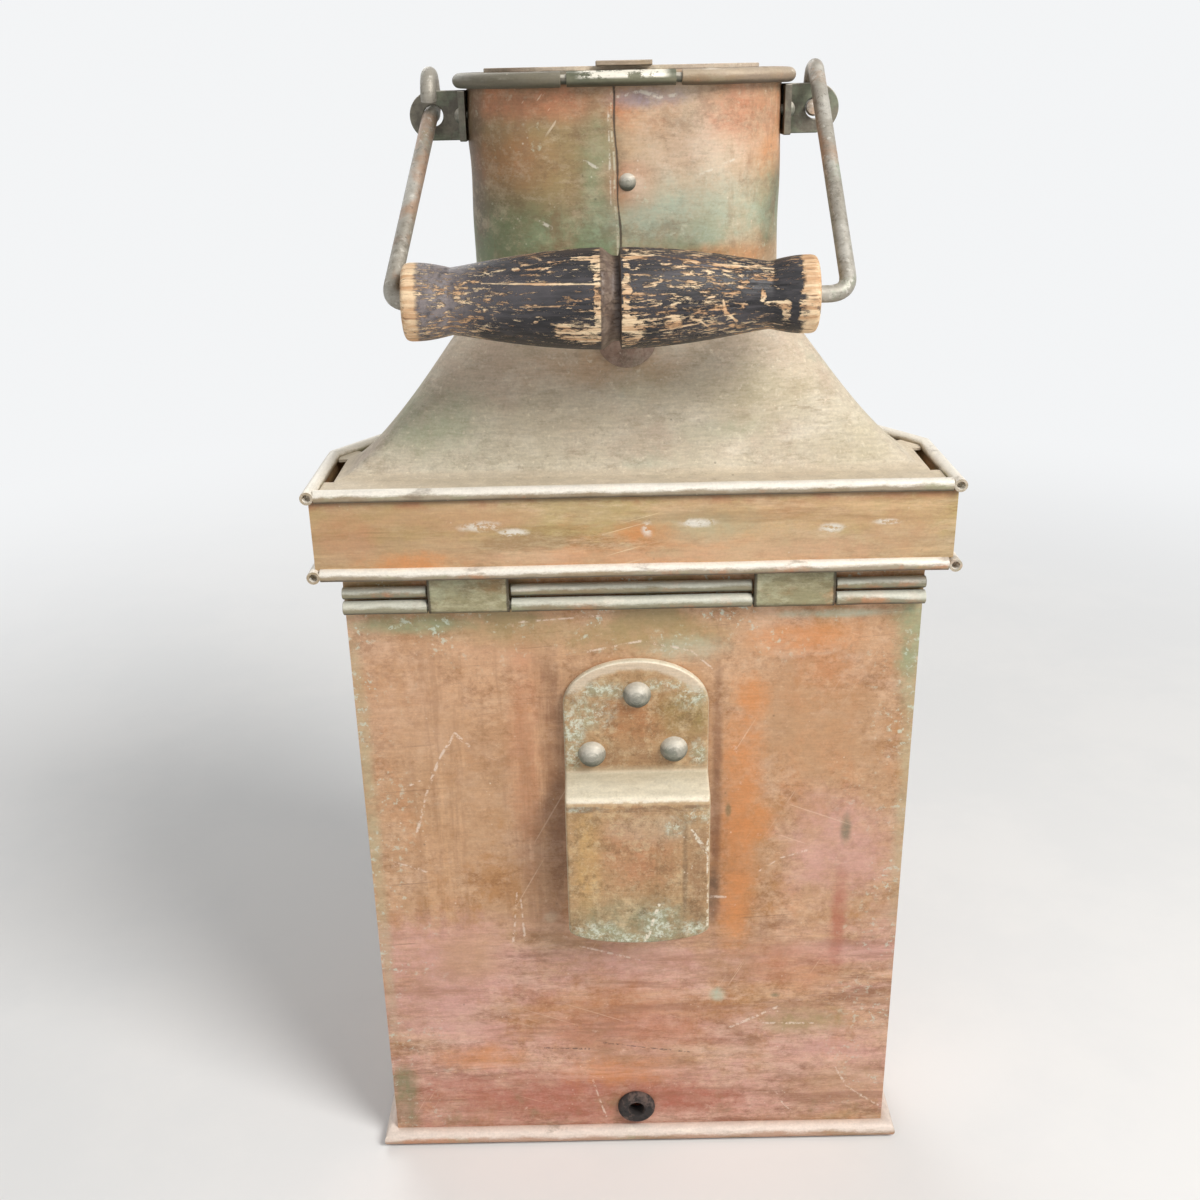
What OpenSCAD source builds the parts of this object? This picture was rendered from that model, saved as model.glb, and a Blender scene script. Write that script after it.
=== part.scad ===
// Railway carriage lamp: a bay-fronted copper case with a hinged lid, a vented gallery,
// an oblong chimney with its own hinged cap, a wire bail with a wooden grip, and an oil lamp inside.
// The back wall faces -Y, the bull's-eye lens faces +Y, and the base stands on z = 0.

/* [Case] */
// Width of the back wall, outside
case_w = 180; // [160:1:210]
// Depth from the back wall to the narrow front
case_d = 105; // [98:1:125]
// Length of each side wall, before the cheek turns in
side_run = 35; // [30:1:45]
// Width of the narrow front wall
front_w = 86; // [84:1:100]
// Height of the top edge of the case
wall_top = 217; // [200:1:240]
// Thickness of the copper sheet
sheet = 1; // [0.8:0.1:1.4]
// Radius of the wired edge round the base
base_bead_r = 2.9; // [2.2:0.1:4]

/* [Lid hinge] */
// Radius of the hinge wire
pin_r = 1.3; // [1:0.1:1.5]
// Wall of the rolled hinge tube
tube_wall = 0.9; // [0.7:0.1:1.2]
// Width of each hinge strap
strap_w = 26; // [18:1:34]
// Distance from the case's sides to the middle of each strap
strap_inset = 40; // [34:1:46]
// Height of each strap above the hinge wire
strap_h = 9.5; // [8:0.5:11]
// Running clearance round the hinge wires, on the radius
pin_gap = 0.08; // [0.03:0.01:0.1]
// Gap between hinge parts, end to end
end_gap = 0.5; // [0.3:0.1:1]

/* [Lid and gallery] */
// How far the gallery stands out from the case
gallery_out = 6.5; // [5:0.5:9]
// Height of the gallery's bottom bead above the case
gallery_lift = 12; // [11:0.5:16]
// Height of the gallery, from bead to bead
gallery_h = 25; // [18:1:35]
// Radius of the gallery's beads
gallery_bead_r = 2; // [1.5:0.1:2.5]
// Depth of the lid's skirt inside the case
skirt_h = 6; // [3:0.5:8]
// Gap between the skirt and the case wall
skirt_gap = 0.7; // [0.5:0.1:1.2]
// Radius of the draught holes in the lid's neck
vent_r = 3.5; // [2:0.5:4.5]
// Radius of the bead on the back of the lid
flange_bead_r = 1.9; // [1.2:0.1:2.1]

/* [Hood] */
// Height of the hood from the gallery top to the chimney
hood_h = 46; // [30:1:70]
// Flat margin behind the hood, from the back wall
hood_back = 12; // [8:1:16]
// Flat margin beside the hood
hood_side = 2; // [1.5:0.5:4]
// How far the hood's foot flares out
hood_flare = 0.35; // [0:0.05:0.8]
// Radius of the patch disc on the hood's back
disc_r = 9.2; // [7:0.1:10]

/* [Chimney] */
// Half of the chimney's straight back
chimney_flat = 19.5; // [19:0.5:22]
// Length of each rounded end, beyond the straight back
chimney_end = 28.7; // [24:0.1:34]
// Half of the chimney's depth
chimney_half = 31.5; // [28:0.5:36]
// Distance of the chimney's middle from the back wall
chimney_y = 55; // [50:0.5:60]
// Height of the chimney up to its rim
chimney_h = 66.9; // [50:0.1:90]
// Radius of the rim bead
rim_r = 2.15; // [1.9:0.05:2.6]
// Width of the cap's knuckle
knuckle_w = 31; // [20:1:33]
// Distance of the knuckle's middle to the left of the lamp's middle
knuckle_shift = 1.5; // [0:0.1:1.5]
// Bare wire at each end of the knuckle
knuckle_gap = 1.7; // [1:0.1:1.9]
// Half of the cap plate's width
cap_half_w = 42; // [36:1:44]
// Half of the cap plate's depth
cap_half_d = 27; // [22:1:28]
// Width of the strap on the cap
cap_strap_w = 16; // [10:1:20]

/* [Bail] */
// Diameter of the bail wire
bail_d = 4.8; // [4:0.1:5.2]
// Mean radius of the bail's eyes
eye_r = 5.9; // [5.5:0.1:6.5]
// Distance of the lug holes from the middle of the lamp
eye_x = 59; // [57:0.5:62]
// Height of the lug holes below the rim bead's middle
hole_drop = 9.9; // [9:0.1:12]
// Radius of the lug holes
hole_r = 3.1; // [3:0.1:3.4]
// Length of the bail, from the eyes to the grip
bail_l = 80.7; // [76:0.1:95]
// Lean of the bail from straight down, when it hangs on its stop
bail_lean = 49.1; // [47:0.1:55]
// Bare wire between the grip and the left arm
bare_left = 4.65; // [4:0.05:8]
// Bare wire between the grip and the right arm
bare_right = 9.65; // [5:0.05:12]
// How far the bail's bottom is bent to the left
bail_shift = 3.35; // [0:0.05:4]
// Thickness of the lugs
lug_t = 2; // [1.5:0.1:2.5]

/* [Grip] */
// Length of the wooden grip
grip_l = 115; // [100:1:116]
// Diameter at the grip's middle
grip_d = 27.9; // [24:0.1:32]
// Diameter at the grip's waists
waist_d = 18.5; // [15:0.1:20]
// Diameter at the grip's ends
grip_end_d = 21.5; // [17:0.1:24]
// Width of the groove round the middle
groove_w = 5.3; // [3:0.1:8]
// Depth of the groove
groove_depth = 2; // [1:0.1:3]
// Clearance between the grip's bore and the wire
grip_gap = 0.35; // [0.2:0.05:0.6]

/* [Lamp-iron socket] */
// Width of the socket plate
socket_w = 46.8; // [36:0.1:54]
// Distance from the case's top edge down to the socket plate
socket_drop = 20.3; // [12:0.1:40]
// Height of the plate, from its foot to its domed top
socket_h = 99.7; // [85:0.1:115]
// Height of the upper plate, from its step to its domed top
socket_upper = 39.5; // [38.5:0.1:50]
// Thickness of the socket plate
socket_t = 3; // [2:0.1:3.5]
// Gap between the plate and the wall, for the lamp iron
socket_gap = 11; // [8:0.5:14]
// Diameter of the rivet heads
rivet_d = 9; // [7:0.1:10]
// Radius of the rivet shanks
shank_r = 2; // [1.5:0.1:2.5]

/* [Cable grommet] */
// Radius of the grommet's flange
grommet_r = 6.8; // [6:0.1:8]
// Radius of the cable hole
cable_r = 3; // [2:0.1:3.5]
// Height of the grommet above the table
grommet_z = 13.9; // [12:0.1:20]

/* [Lights] */
// Height of the lens and the lights
lens_z = 125; // [100:1:150]
// Radius of the bull's-eye lens
lens_r = 33.5; // [28:0.5:35]
// Height of the lens's bulge
lens_bulge = 18; // [10:1:24]
// Radius of the side glasses
glass_r = 27; // [22:0.5:30]
// Thickness of the side glasses
glass_t = 3; // [2:0.5:4]
// Radius of the reflector
reflector_r = 42; // [34:1:44]
// Depth of the reflector's dish
reflector_depth = 14; // [8:1:16]

/* [Oil lamp] */
// Radius of the oil font
font_r = 31; // [29:0.5:34]
// Height of the oil font
font_h = 40; // [30:1:50]
// Height of the wick tube above the font
wick_tube_h = 67; // [50:1:75]
// Width of the wick
wick_w = 14.4; // [10:0.1:16]
// Thickness of the wick
wick_t = 1.8; // [1.2:0.1:2.4]
// Radius of the burner drum
drum_r = 13; // [12:0.5:14]
// Distance of the filler from the burner
filler_x = 22; // [21.8:0.1:22.4]

/* [Hidden] */
$fn = 64;
eps = 0.01;

// Angle of the cheeks from straight ahead, and the two corner offsets that follow from it
splay = atan2((case_w - front_w) / 2, case_d - side_run);
side_k = tan(splay / 2);
front_k = tan((90 - splay) / 2);

// Heights
neck_z = wall_top;
bead_low_z = wall_top + gallery_lift;
bead_top_z = bead_low_z + gallery_h;
// Half of each rolled bead's slit, as an angle
slit_a = 30;
bead_chord = gallery_bead_r * cos(slit_a);
base_bead_out = 1.6;
bottom_bead_out = 0.4;
band_z = bead_low_z + bead_chord;
roof_z = bead_top_z;
chimney_z = roof_z + hood_h;
rim_z = chimney_z + chimney_h;

// Lid hinge: running gap behind the knuckles, and how far the wire lies below the case's edge
knuckle_stand = 0.1;
pin_drop = 0.5;
knuckle_r = pin_r + pin_gap + tube_wall;
pin_y = -knuckle_r - knuckle_stand;
pin_z = wall_top - pin_drop;
strap_t = 1.2;
// Middles of the two straps, which aren't quite alike, and the lengths of rolled tube between them
straps = [strap_inset - case_w / 2 - 1, case_w / 2 - strap_inset - 0.6];
tube_spans = [[-case_w / 2, straps[0] - strap_w / 2], [straps[0] + strap_w / 2, straps[1] - strap_w / 2],
              [straps[1] + strap_w / 2, case_w / 2]];
flange_bead_z = wall_top + 4.2;
// How far a bead is let into the sheet behind it
bead_sink = 0.2;

// Rim and cap
rim_sink = 0.05;
rim_y = chimney_y - chimney_half - rim_r + rim_sink;
cap_knuckle_r = rim_r - 0.1;
cap_z = rim_z + rim_r + 0.05;
cap_t = 1.2;
cap_strap_t = 1.4;
cap_shift = 0.8;
// How far the cap's strap starts ahead of the rim wire, and how far it reaches past the front rim
strap_lead = 3;
strap_reach = 6;
knuckle_x0 = -knuckle_shift - knuckle_w / 2;
knuckle_x1 = -knuckle_shift + knuckle_w / 2;

// Bail
eye_z = rim_z - hole_drop + eye_r;
bail_dir = [0, -sin(bail_lean), -cos(bail_lean)];
arms_half = (grip_l + bare_left + bare_right) / 2;
grip_x = bare_left + grip_l / 2 - arms_half - bail_shift;
grip_y = chimney_y + bail_dir[1] * bail_l;
grip_z = eye_z + bail_dir[2] * bail_l;
wire_r = bail_d / 2;
// How far both eyes sit to the left of the lug holes
eye_side = 0.5;
// How far behind its eye the left arm passes, and the radii of its bends
root_back = 3.8;
root_bend = 3;
arm_bend = 6.5;
tangent_angle = 270 - bail_lean - acos(eye_r / bail_l);

// Lug
lug_x = chimney_flat + chimney_end;
lug_h = 14.5;
lug_z = eye_z - eye_r - lug_h / 2;
lug_rear = 11;
lug_rivet_y = chimney_y - 6;
// Bend of the chimney's wall away from the flat lug, at its rivet's tail
lug_wall_bend = 1.1;

// Rivets
rivet_slip = 0.02;
tail_h = 1;
big_rivet_h = 3.8;
big_tail_d = 6.5;
small_rivet_h = 1.8;
small_tail_d = 4;
lug_rivet_d = 5;
lug_shank_r = 1.5;
seam_rivet_d = 5.3;
seam_shank_r = 1.2;
seam_rivet_z = chimney_z + 38.7;

// Socket: heights of its domed top and of its rounded foot, and of its step outwards
socket_dome = 15.5;
socket_foot = 6;
step_rise = 4.6;
socket_x = 0.2;
socket_top = wall_top - socket_drop;
socket_bottom = socket_top - socket_h;
socket_step = socket_top - socket_upper;
socket_out = socket_gap + socket_t;
rivet_spots = [for (p = [[0.6, 11.8], [-14.2, 32.9], [12.4, 31.6]]) [p[0], socket_top - p[1]]];

// Grommet
grommet_x = -1;
grommet_neck_r = cable_r + 2;
grommet_in_t = 2;
grommet_t = 2.2;

// Lights
opening_r = lens_r - 3.5;
lens_lip_r = lens_r - 2.5;
ring_wall = 3.2;
ring_lip = 4;
ring_edge = 1.2;
lens_seat = 1.2;
lens_edge = 4.8;
clip_w = 3;
clip_gap = 0.1;
glass_gap = 0.3;
glass_play = 0.1;
glass_open = glass_r - 2;
light_wall = 2.2;
light_lip = 2.5;
reflector_y = 12;
reflector_flat = 7;
stem_r = 5;

// Lamp
font_top = sheet + font_h;
font_y = chimney_y;
guide_gap = 0.6;
guide_wall = 1.4;
guide_h = 8;
drum_h = 15;
air_hole_r = 1.2;
air_hole_z = 12;
collar_h = 6;
collar_wall = 1;
burner_bore = drum_r - 3;
cone_h = 10;
cone_gap = 2.4;
wick_low = 6;
wick_show = 2;
tube_gap = 0.3;
tube_t = 0.8;
spindle_r = 1.2;
spindle_z = font_top + collar_h + 7;
spindle_dy = wick_t / 2 + tube_gap + tube_t + 4;
star_r = 3.6;
star_w = 4;
knob_x = 42;
knob_r = 7;
knob_t = 4;
dimple_r = 2;
dimple_depth = 1.5;
knurl_r = 0.5;
filler_r = 6;
filler_wall = 1;
filler_h = 5;
filler_cap_h = 6;
filler_cap_wall = 1;

// Neck, roof and plates
neck_step = 2;
vent_pitch = 16;
hood_t = 1.2;
slot_in = 1.2;
slot_start = 8;
slot_end = 2;
cheek_slot = [0.08, 0.9];
disc_t = 1;
disc_gap = 0.1;
// Distance of the disc's middle to the left, and down its slope from its straight top edge
disc_x = -0.8;
disc_drop = 6.2;
baffle_r = 28;
strip_w = 12;
strip_back = 16;
tab_w = 24;
tab_l = 8;
tab_t = 1.5;
tab_cut = 5;

// Corners of a bay-shaped outline: sides, cheeks and front moved out by o, back edge at y = back
function bay(o, back) =
    let (x = case_w / 2 + o, y = side_run + o * side_k, f = front_w / 2 + o * front_k)
    [[-x, back], [x, back], [x, y], [f, case_d + o], [-f, case_d + o], [-x, y]];
function plan(o) = bay(o, -o);
// The foot of the hood, moved out by o
function foot(o) = bay(o - hood_side, hood_back - o);
// An arc in a section, as [offset, height] pairs
function arc(o, z, r, a0, a1, n) =
    [for (i = [0:n]) let (a = a0 + (a1 - a0) * i / n) [o + r * cos(a), z + r * sin(a)]];
// A point on the oblong moved out by o: u runs 0-1 along the back, 1-2 round the right end,
// 2-3 along the front and 3-4 round the left end
function oblong(u, o) =
    let (w = u < 0 ? u + 4 : u, a = chimney_end + o, b = chimney_half + o)
    w < 1 ? [chimney_flat * (2 * w - 1), chimney_y - b] :
    w < 2 ? [chimney_flat + a * cos(180 * (w - 1.5)), chimney_y + b * sin(180 * (w - 1.5))] :
    w < 3 ? [chimney_flat * (5 - 2 * w), chimney_y + b] :
            [-chimney_flat - a * cos(180 * (w - 3.5)), chimney_y - b * sin(180 * (w - 3.5))];
end_steps = 24;
function oblong_line(o) = concat(
    [for (i = [0:end_steps]) oblong(1 + i * 0.99999 / end_steps, o)],
    [for (i = [0:end_steps]) oblong(3 + i * 0.99999 / end_steps, o)]);
function unit(v) = v / norm(v);
function mix(a, b, t) = a + (b - a) * t;

// Moves the wall's own frame, with y = 0 on the back wall, to the lamp's frame
module seat() { translate([0, -case_d / 2, 0]) children(); }
// A flat ring between two outlines
module ring(outer, inner, z0, z1) {
    translate([0, 0, z0]) linear_extrude(z1 - z0) difference() {
        polygon(outer);
        polygon(inner);
    }
}
// A cylinder along X, Y or Z from a to b
module rod_x(r, x0, x1) { translate([x0, 0, 0]) rotate([0, 90, 0]) cylinder(r = r, h = x1 - x0); }
module rod_y(r, y0, y1) { translate([0, y0, 0]) rotate([-90, 0, 0]) cylinder(r = r, h = y1 - y0); }
// A skin over rings of points, closed end to end when loop is true
module skin(rings, loop) {
    n = len(rings[0]);
    m = len(rings);
    spans = loop ? m : m - 1;
    sides = [for (i = [0:spans - 1], j = [0:n - 1], k = [0:1])
        let (j2 = (j + 1) % n, i2 = (i + 1) % m)
        let (a = i * n + j, b = i * n + j2, c = i2 * n + j, d = i2 * n + j2)
        k == 0 ? [a, c, b] : [b, c, d]];
    ends = loop ? [] : [[for (j = [0:n - 1]) j], [for (j = [n - 1:-1:0]) (m - 1) * n + j]];
    polyhedron(points = [for (r = rings, p = r) p], faces = concat(sides, ends), convexity = 8);
}
// A bead carried round the bay outline: section holds [offset, height] pairs
module plan_bead(section) {
    lines = [for (s = section) plan(s[0])];
    skin([for (i = [5:-1:0])
        [for (k = [0:len(section) - 1]) [lines[k][i][0], lines[k][i][1], section[k][1]]]], true);
}
// A rivet along Y: dome head outside, shank through the sheets, small clenched tail inside
module rivet(head_d, head_h, shank, grip, tail_d) {
    hr = head_d / 2;
    dome_r = (hr * hr + head_h * head_h) / (2 * head_h);
    dome = [for (i = [0:6]) let (x = hr * cos(15 * i)) [x, head_h - dome_r + sqrt(dome_r * dome_r - x * x)]];
    rotate([90, 0, 0]) rotate_extrude() polygon(concat(
        [[0, -grip - tail_h], [(tail_d - tail_h) / 2, -grip - tail_h], [tail_d / 2, -grip - tail_h / 2],
         [tail_d / 2, -grip], [shank, -grip], [shank, 0]], dome));
}
// Moves children to the middle of the right cheek, with +Y pointing out of the wall
module on_cheek(side) {
    mirror([side < 0 ? 1 : 0, 0, 0])
        translate([(case_w + front_w) / 4, (case_d + side_run) / 2, lens_z])
            rotate([0, 0, splay - 90]) children();
}
// A slot along one straight edge of the outline, from a to b, between two offsets
module edge_slot(a, b, o0, o1) {
    t = unit(b - a);
    n = [t[1], -t[0]];
    translate([0, 0, roof_z - 2 * sheet]) linear_extrude(4 * sheet)
        polygon([a + n * o0, b + n * o0, b + n * o1, a + n * o1]);
}

// Case: back, sides, cheeks and front in one folded sheet
module case_shell() {
    color("peru") seat() difference() {
        ring(plan(0), plan(-sheet), sheet, wall_top);
        translate([0, 0, lens_z]) rod_y(opening_r, case_d - 10, case_d + 10);
        for (side = [-1, 1]) on_cheek(side) rod_y(glass_open, -10, 10);
        translate([grommet_x, 0, grommet_z]) rod_y(grommet_neck_r, -5, 5);
        for (p = rivet_spots) translate([p[0], 0, p[1]]) rod_y(shank_r + rivet_slip, -5, 5);
    }
}
module base_plate() { color("peru") seat() linear_extrude(sheet) polygon(plan(0)); }
module base_bead() {
    a = acos(-base_bead_out / base_bead_r);
    color("tan") seat() plan_bead(arc(base_bead_out, base_bead_r, base_bead_r, -a, a, 14));
}
// Lid hinge: rolled tube on the back wall in three lengths, round the hinge wire
module hinge_tube() {
    r = pin_r + tube_wall;
    color("tan") seat() for (s = tube_spans) difference() {
        union() {
            translate([0, pin_y, pin_z]) rod_x(r, s[0], s[1]);
            translate([s[0], pin_y, pin_z - r]) cube([s[1] - s[0], -pin_y, r]);
        }
        translate([0, pin_y, pin_z]) rod_x(pin_r + 0.01, s[0] - 1, s[1] + 1);
    }
}
module hinge_pin() {
    color("darkkhaki") seat() translate([0, pin_y, pin_z]) rod_x(pin_r, -case_w / 2, case_w / 2);
}
module hinge_strap(x) {
    w = strap_w - 2 * end_gap;
    outer = pin_y - knuckle_r;
    color("tan") seat() translate([x - w / 2, 0, 0]) difference() {
        union() {
            translate([0, pin_y, pin_z]) rod_x(knuckle_r, 0, w);
            translate([0, outer, pin_z]) cube([w, strap_t, strap_h]);
            translate([0, outer, pin_z + strap_h - strap_t]) cube([w, -outer, strap_t]);
        }
        translate([0, pin_y, pin_z]) rod_x(pin_r + pin_gap, -1, w + 1);
    }
}
module hinge_strap_left() { hinge_strap(straps[0]); }
module hinge_strap_right() { hinge_strap(straps[1]); }

// Socket that drops over a lamp iron: upper plate riveted to the wall, lower plate stepped clear of it
module lamp_iron_socket() {
    low = socket_step - step_rise;
    step_t = socket_t * norm([step_rise, socket_gap]) / socket_gap;
    profile = [[0, socket_top + 1], [-socket_t, socket_top + 1], [-socket_t, socket_step], [-socket_out, low],
               [-socket_out, socket_bottom - 1], [-socket_gap, socket_bottom - 1],
               [-socket_gap, low - step_t], [0, socket_step - step_t]];
    color("tan") seat() difference() {
        intersection() {
            translate([-socket_w, 0, 0]) rotate([90, 0, 90]) linear_extrude(2 * socket_w) polygon(profile);
            translate([socket_x, 0, 0]) rotate([90, 0, 0]) linear_extrude(socket_out + 1) socket_outline();
        }
        for (p = rivet_spots) translate([p[0], 0, p[1]]) rod_y(shank_r + rivet_slip, -20, 5);
    }
}
// The plate seen from behind: half an ellipse at its top, straight sides, a flatter half ellipse at its foot
module socket_outline() {
    w = socket_w / 2;
    top_z = socket_top - socket_dome;
    foot_z = socket_bottom + socket_foot;
    polygon(concat([for (i = [0:24]) [w * cos(7.5 * i), top_z + socket_dome * sin(7.5 * i)]],
                   [for (i = [24:-1:0]) [w * cos(7.5 * i), foot_z - socket_foot * sin(7.5 * i)]]));
}
module socket_rivets() {
    color("slategray") seat() for (p = rivet_spots)
        translate([p[0], -socket_t, p[1]]) rivet(rivet_d, big_rivet_h, shank_r, socket_t + sheet, big_tail_d);
}
// Rubber grommet, its groove holding the edge of a hole in the wall
module cable_grommet() {
    inner_r = grommet_r - 0.4;
    color("dimgray") seat() translate([grommet_x, 0, grommet_z]) rotate([90, 0, 0]) rotate_extrude() polygon([
        [cable_r, -sheet - grommet_in_t], [inner_r - 1, -sheet - grommet_in_t], [inner_r, -sheet - 1],
        [inner_r, -sheet], [grommet_neck_r, -sheet], [grommet_neck_r, 0], [grommet_r, 0],
        [grommet_r, grommet_t - 1], [grommet_r - 1, grommet_t], [cable_r, grommet_t]]);
}

// Front light: flanged ring, plano-convex lens, spring clip behind it
module lens_ring() {
    bore = lens_r + glass_gap;
    outer = bore + ring_wall;
    len = lens_seat + lens_edge + ring_lip;
    color("goldenrod") seat() translate([0, case_d, lens_z]) rotate([-90, 0, 0]) rotate_extrude() polygon([
        [bore, 0], [outer, 0], [outer, len], [outer - ring_edge, len + ring_edge],
        [lens_lip_r, len + ring_edge], [lens_lip_r, len], [bore, len]]);
}
module bulls_eye_lens() {
    ball = (lens_r * lens_r + lens_bulge * lens_bulge) / (2 * lens_bulge);
    face = lens_seat + lens_edge;
    steps = 12;
    rim_a = asin(lens_r / ball);
    dome = [for (i = [0:steps]) let (a = rim_a * (1 - i / steps))
        [ball * sin(a), face + lens_bulge - ball + ball * cos(a)]];
    color("lightcyan") seat() translate([0, case_d, lens_z]) rotate([-90, 0, 0]) rotate_extrude()
        polygon(concat([[0, lens_seat], [lens_r, lens_seat]], dome));
}
module lens_clip() {
    color("silver") seat() translate([0, case_d, lens_z]) difference() {
        rod_y(lens_r + glass_gap - clip_gap, 0, lens_seat);
        rod_y(lens_r - clip_w, -1, lens_seat + 1);
    }
}
// Side lights: flat glass held between the cheek and a turned ring
module light_ring(side) {
    bore = glass_r + glass_gap;
    outer = bore + light_wall;
    top = glass_t + glass_play + light_lip;
    color("goldenrod") seat() on_cheek(side) rotate([-90, 0, 0]) rotate_extrude() polygon([
        [bore, 0], [outer, 0], [outer, top - ring_edge], [outer - ring_edge, top],
        [glass_open, top], [glass_open, glass_t + glass_play], [bore, glass_t + glass_play]]);
}
module light_glass(side) { color("lightcyan") seat() on_cheek(side) rod_y(glass_r, 0, glass_t); }
module left_light_ring() { light_ring(-1); }
module left_light_glass() { light_glass(-1); }
module right_light_ring() { light_ring(1); }
module right_light_glass() { light_glass(1); }

// Reflector: spun dish on a short stem from the back wall
module reflector() {
    steps = 8;
    dish = [for (i = [0:steps]) let (t = i / steps)
        [mix(reflector_flat, reflector_r, t), reflector_depth * t * t]];
    line = concat([[0, 0]], dish, [for (i = [steps:-1:0]) dish[i] + [0, sheet]], [[0, sheet]]);
    color("silver") seat() translate([0, reflector_y, lens_z]) rotate([-90, 0, 0])
        rotate_extrude() polygon(line);
}
module reflector_stem() { color("peru") seat() translate([0, 0, lens_z]) rod_y(stem_r, sheet, reflector_y); }

// Oil font standing in a guide ring, with burner, wick and winder
module font_guide() {
    color("peru") seat() translate([0, font_y, sheet]) difference() {
        cylinder(r = font_r + guide_gap + guide_wall, h = guide_h);
        translate([0, 0, -1]) cylinder(r = font_r + guide_gap, h = guide_h + 2);
    }
}
module oil_font() {
    color("goldenrod") seat() translate([0, font_y, sheet]) difference() {
        cylinder(r = font_r, h = font_h);
        translate([0, 0, sheet]) cylinder(r = font_r - sheet, h = font_h - 2 * sheet);
        translate([0, 0, font_h / 2]) cylinder(r = burner_bore, h = font_h);
        translate([-filler_x, 0, font_h / 2]) cylinder(r = filler_r - filler_wall, h = font_h);
    }
}
module filler_neck() {
    color("goldenrod") seat() translate([-filler_x, font_y, font_top]) difference() {
        cylinder(r = filler_r, h = filler_h);
        translate([0, 0, -1]) cylinder(r = filler_r - filler_wall, h = filler_h + 2);
    }
}
module filler_cap() {
    bore = filler_r + pin_gap;
    outer = bore + filler_cap_wall;
    color("goldenrod") seat() translate([-filler_x, font_y, font_top + 0.5]) difference() {
        union() {
            cylinder(r = outer, h = filler_cap_h);
            for (i = [0:11]) rotate([0, 0, 30 * i]) translate([outer, 0, knurl_r])
                cylinder(r = knurl_r, h = filler_cap_h - 2 * knurl_r, $fn = 16);
        }
        translate([0, 0, -1]) cylinder(r = bore, h = filler_h + 0.6);
    }
}
module burner_collar() {
    color("goldenrod") seat() translate([0, font_y, font_top]) difference() {
        cylinder(r = drum_r + collar_wall, h = collar_h);
        translate([0, 0, -1]) cylinder(r = burner_bore, h = collar_h + 2);
    }
}
module burner_drum() {
    color("goldenrod") seat() translate([0, font_y, font_top + collar_h]) difference() {
        cylinder(r = drum_r, h = drum_h);
        translate([0, 0, -1]) cylinder(r = drum_r - sheet, h = drum_h - sheet + 1);
        wick_slot(tube_gap + tube_t + 0.02, drum_h + 1);
        for (i = [0:9]) rotate([0, 0, 36 * i + 18]) translate([0, 0, air_hole_z])
            rod_y(air_hole_r, burner_bore, drum_r + 2);
        translate([0, spindle_dy, spindle_z - font_top - collar_h]) rod_x(spindle_r + pin_gap, 0, drum_r + 2);
    }
}
// A flat slot round the wick, wider by gap all round
module wick_slot(gap, h) {
    translate([-wick_w / 2 - gap, -wick_t / 2 - gap, -eps]) cube([wick_w + 2 * gap, wick_t + 2 * gap, h]);
}
module burner_cone() {
    mouth = wick_w / 2 + cone_gap;
    color("goldenrod") seat() translate([0, font_y, font_top + collar_h + drum_h]) rotate_extrude() polygon([
        [drum_r - sheet, 0], [drum_r, 0], [drum_r, sheet], [mouth + sheet, cone_h], [mouth, cone_h],
        [drum_r - sheet, sheet]]);
}
module wick_tube() {
    color("goldenrod") seat() translate([0, font_y, font_top]) difference() {
        wick_slot(tube_gap + tube_t, wick_tube_h);
        translate([0, 0, -1]) wick_slot(tube_gap, wick_tube_h + 2);
    }
}
module wick() {
    low = sheet + wick_low;
    color("wheat") seat() translate([-wick_w / 2, font_y - wick_t / 2, low])
        cube([wick_w, wick_t, font_top + wick_tube_h + wick_show - low]);
}
module winder_spindle() {
    color("goldenrod") seat() translate([0, font_y + spindle_dy, spindle_z]) {
        rod_x(spindle_r, star_w / 2, knob_x);
        rod_x(star_r, -star_w / 2, star_w / 2);
    }
}
module winder_knob() {
    color("goldenrod") seat() translate([knob_x, font_y + spindle_dy, spindle_z]) difference() {
        union() {
            rod_x(knob_r, 0, knob_t);
            for (i = [0:17]) rotate([20 * i, 0, 0]) translate([0, knob_r, 0])
                rod_x(knurl_r, knurl_r, knob_t - knurl_r, $fn = 16);
        }
        rod_x(dimple_r, knob_t - dimple_depth, knob_t + 1);
    }
}

// Lid: neck standing on the case, with a skirt inside it and draught holes under the roof
module lid_neck() {
    vent_z = (band_z + roof_z) / 2;
    color("peru") seat() difference() {
        union() {
            ring(plan(0), plan(-sheet), neck_z, roof_z - sheet);
            ring(plan(-sheet), plan(-2 * sheet - skirt_gap), neck_z, neck_z + neck_step);
            ring(plan(-sheet - skirt_gap), plan(-2 * sheet - skirt_gap), neck_z - skirt_h, neck_z);
        }
        for (y = [side_run * 0.4, side_run * 0.8]) translate([0, y, vent_z]) rod_x(vent_r, -case_w, case_w);
        for (side = [-1, 1], k = [-1.5:1:1.5]) on_cheek(side)
            translate([k * vent_pitch, 0, vent_z - lens_z]) rod_y(vent_r, -10, 10);
    }
}
module lid_flange_bead() {
    color("tan") seat() for (s = tube_spans) difference() {
        translate([0, bead_sink - flange_bead_r, flange_bead_z]) rod_x(flange_bead_r, s[0], s[1]);
        translate([-case_w, 0, wall_top]) cube([2 * case_w, 10, 20]);
    }
}
module gallery_band() {
    inner = gallery_out - sheet;
    color("burlywood") seat() {
        ring(plan(gallery_out), plan(inner), band_z, roof_z - bead_chord);
        ring(plan(inner), plan(0), band_z, band_z + sheet);
    }
}
module gallery_bottom_bead() {
    section = arc(gallery_out + bottom_bead_out, bead_low_z, gallery_bead_r, 90 + slit_a, 450 - slit_a, 14);
    color("tan") seat() plan_bead(section);
}
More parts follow.
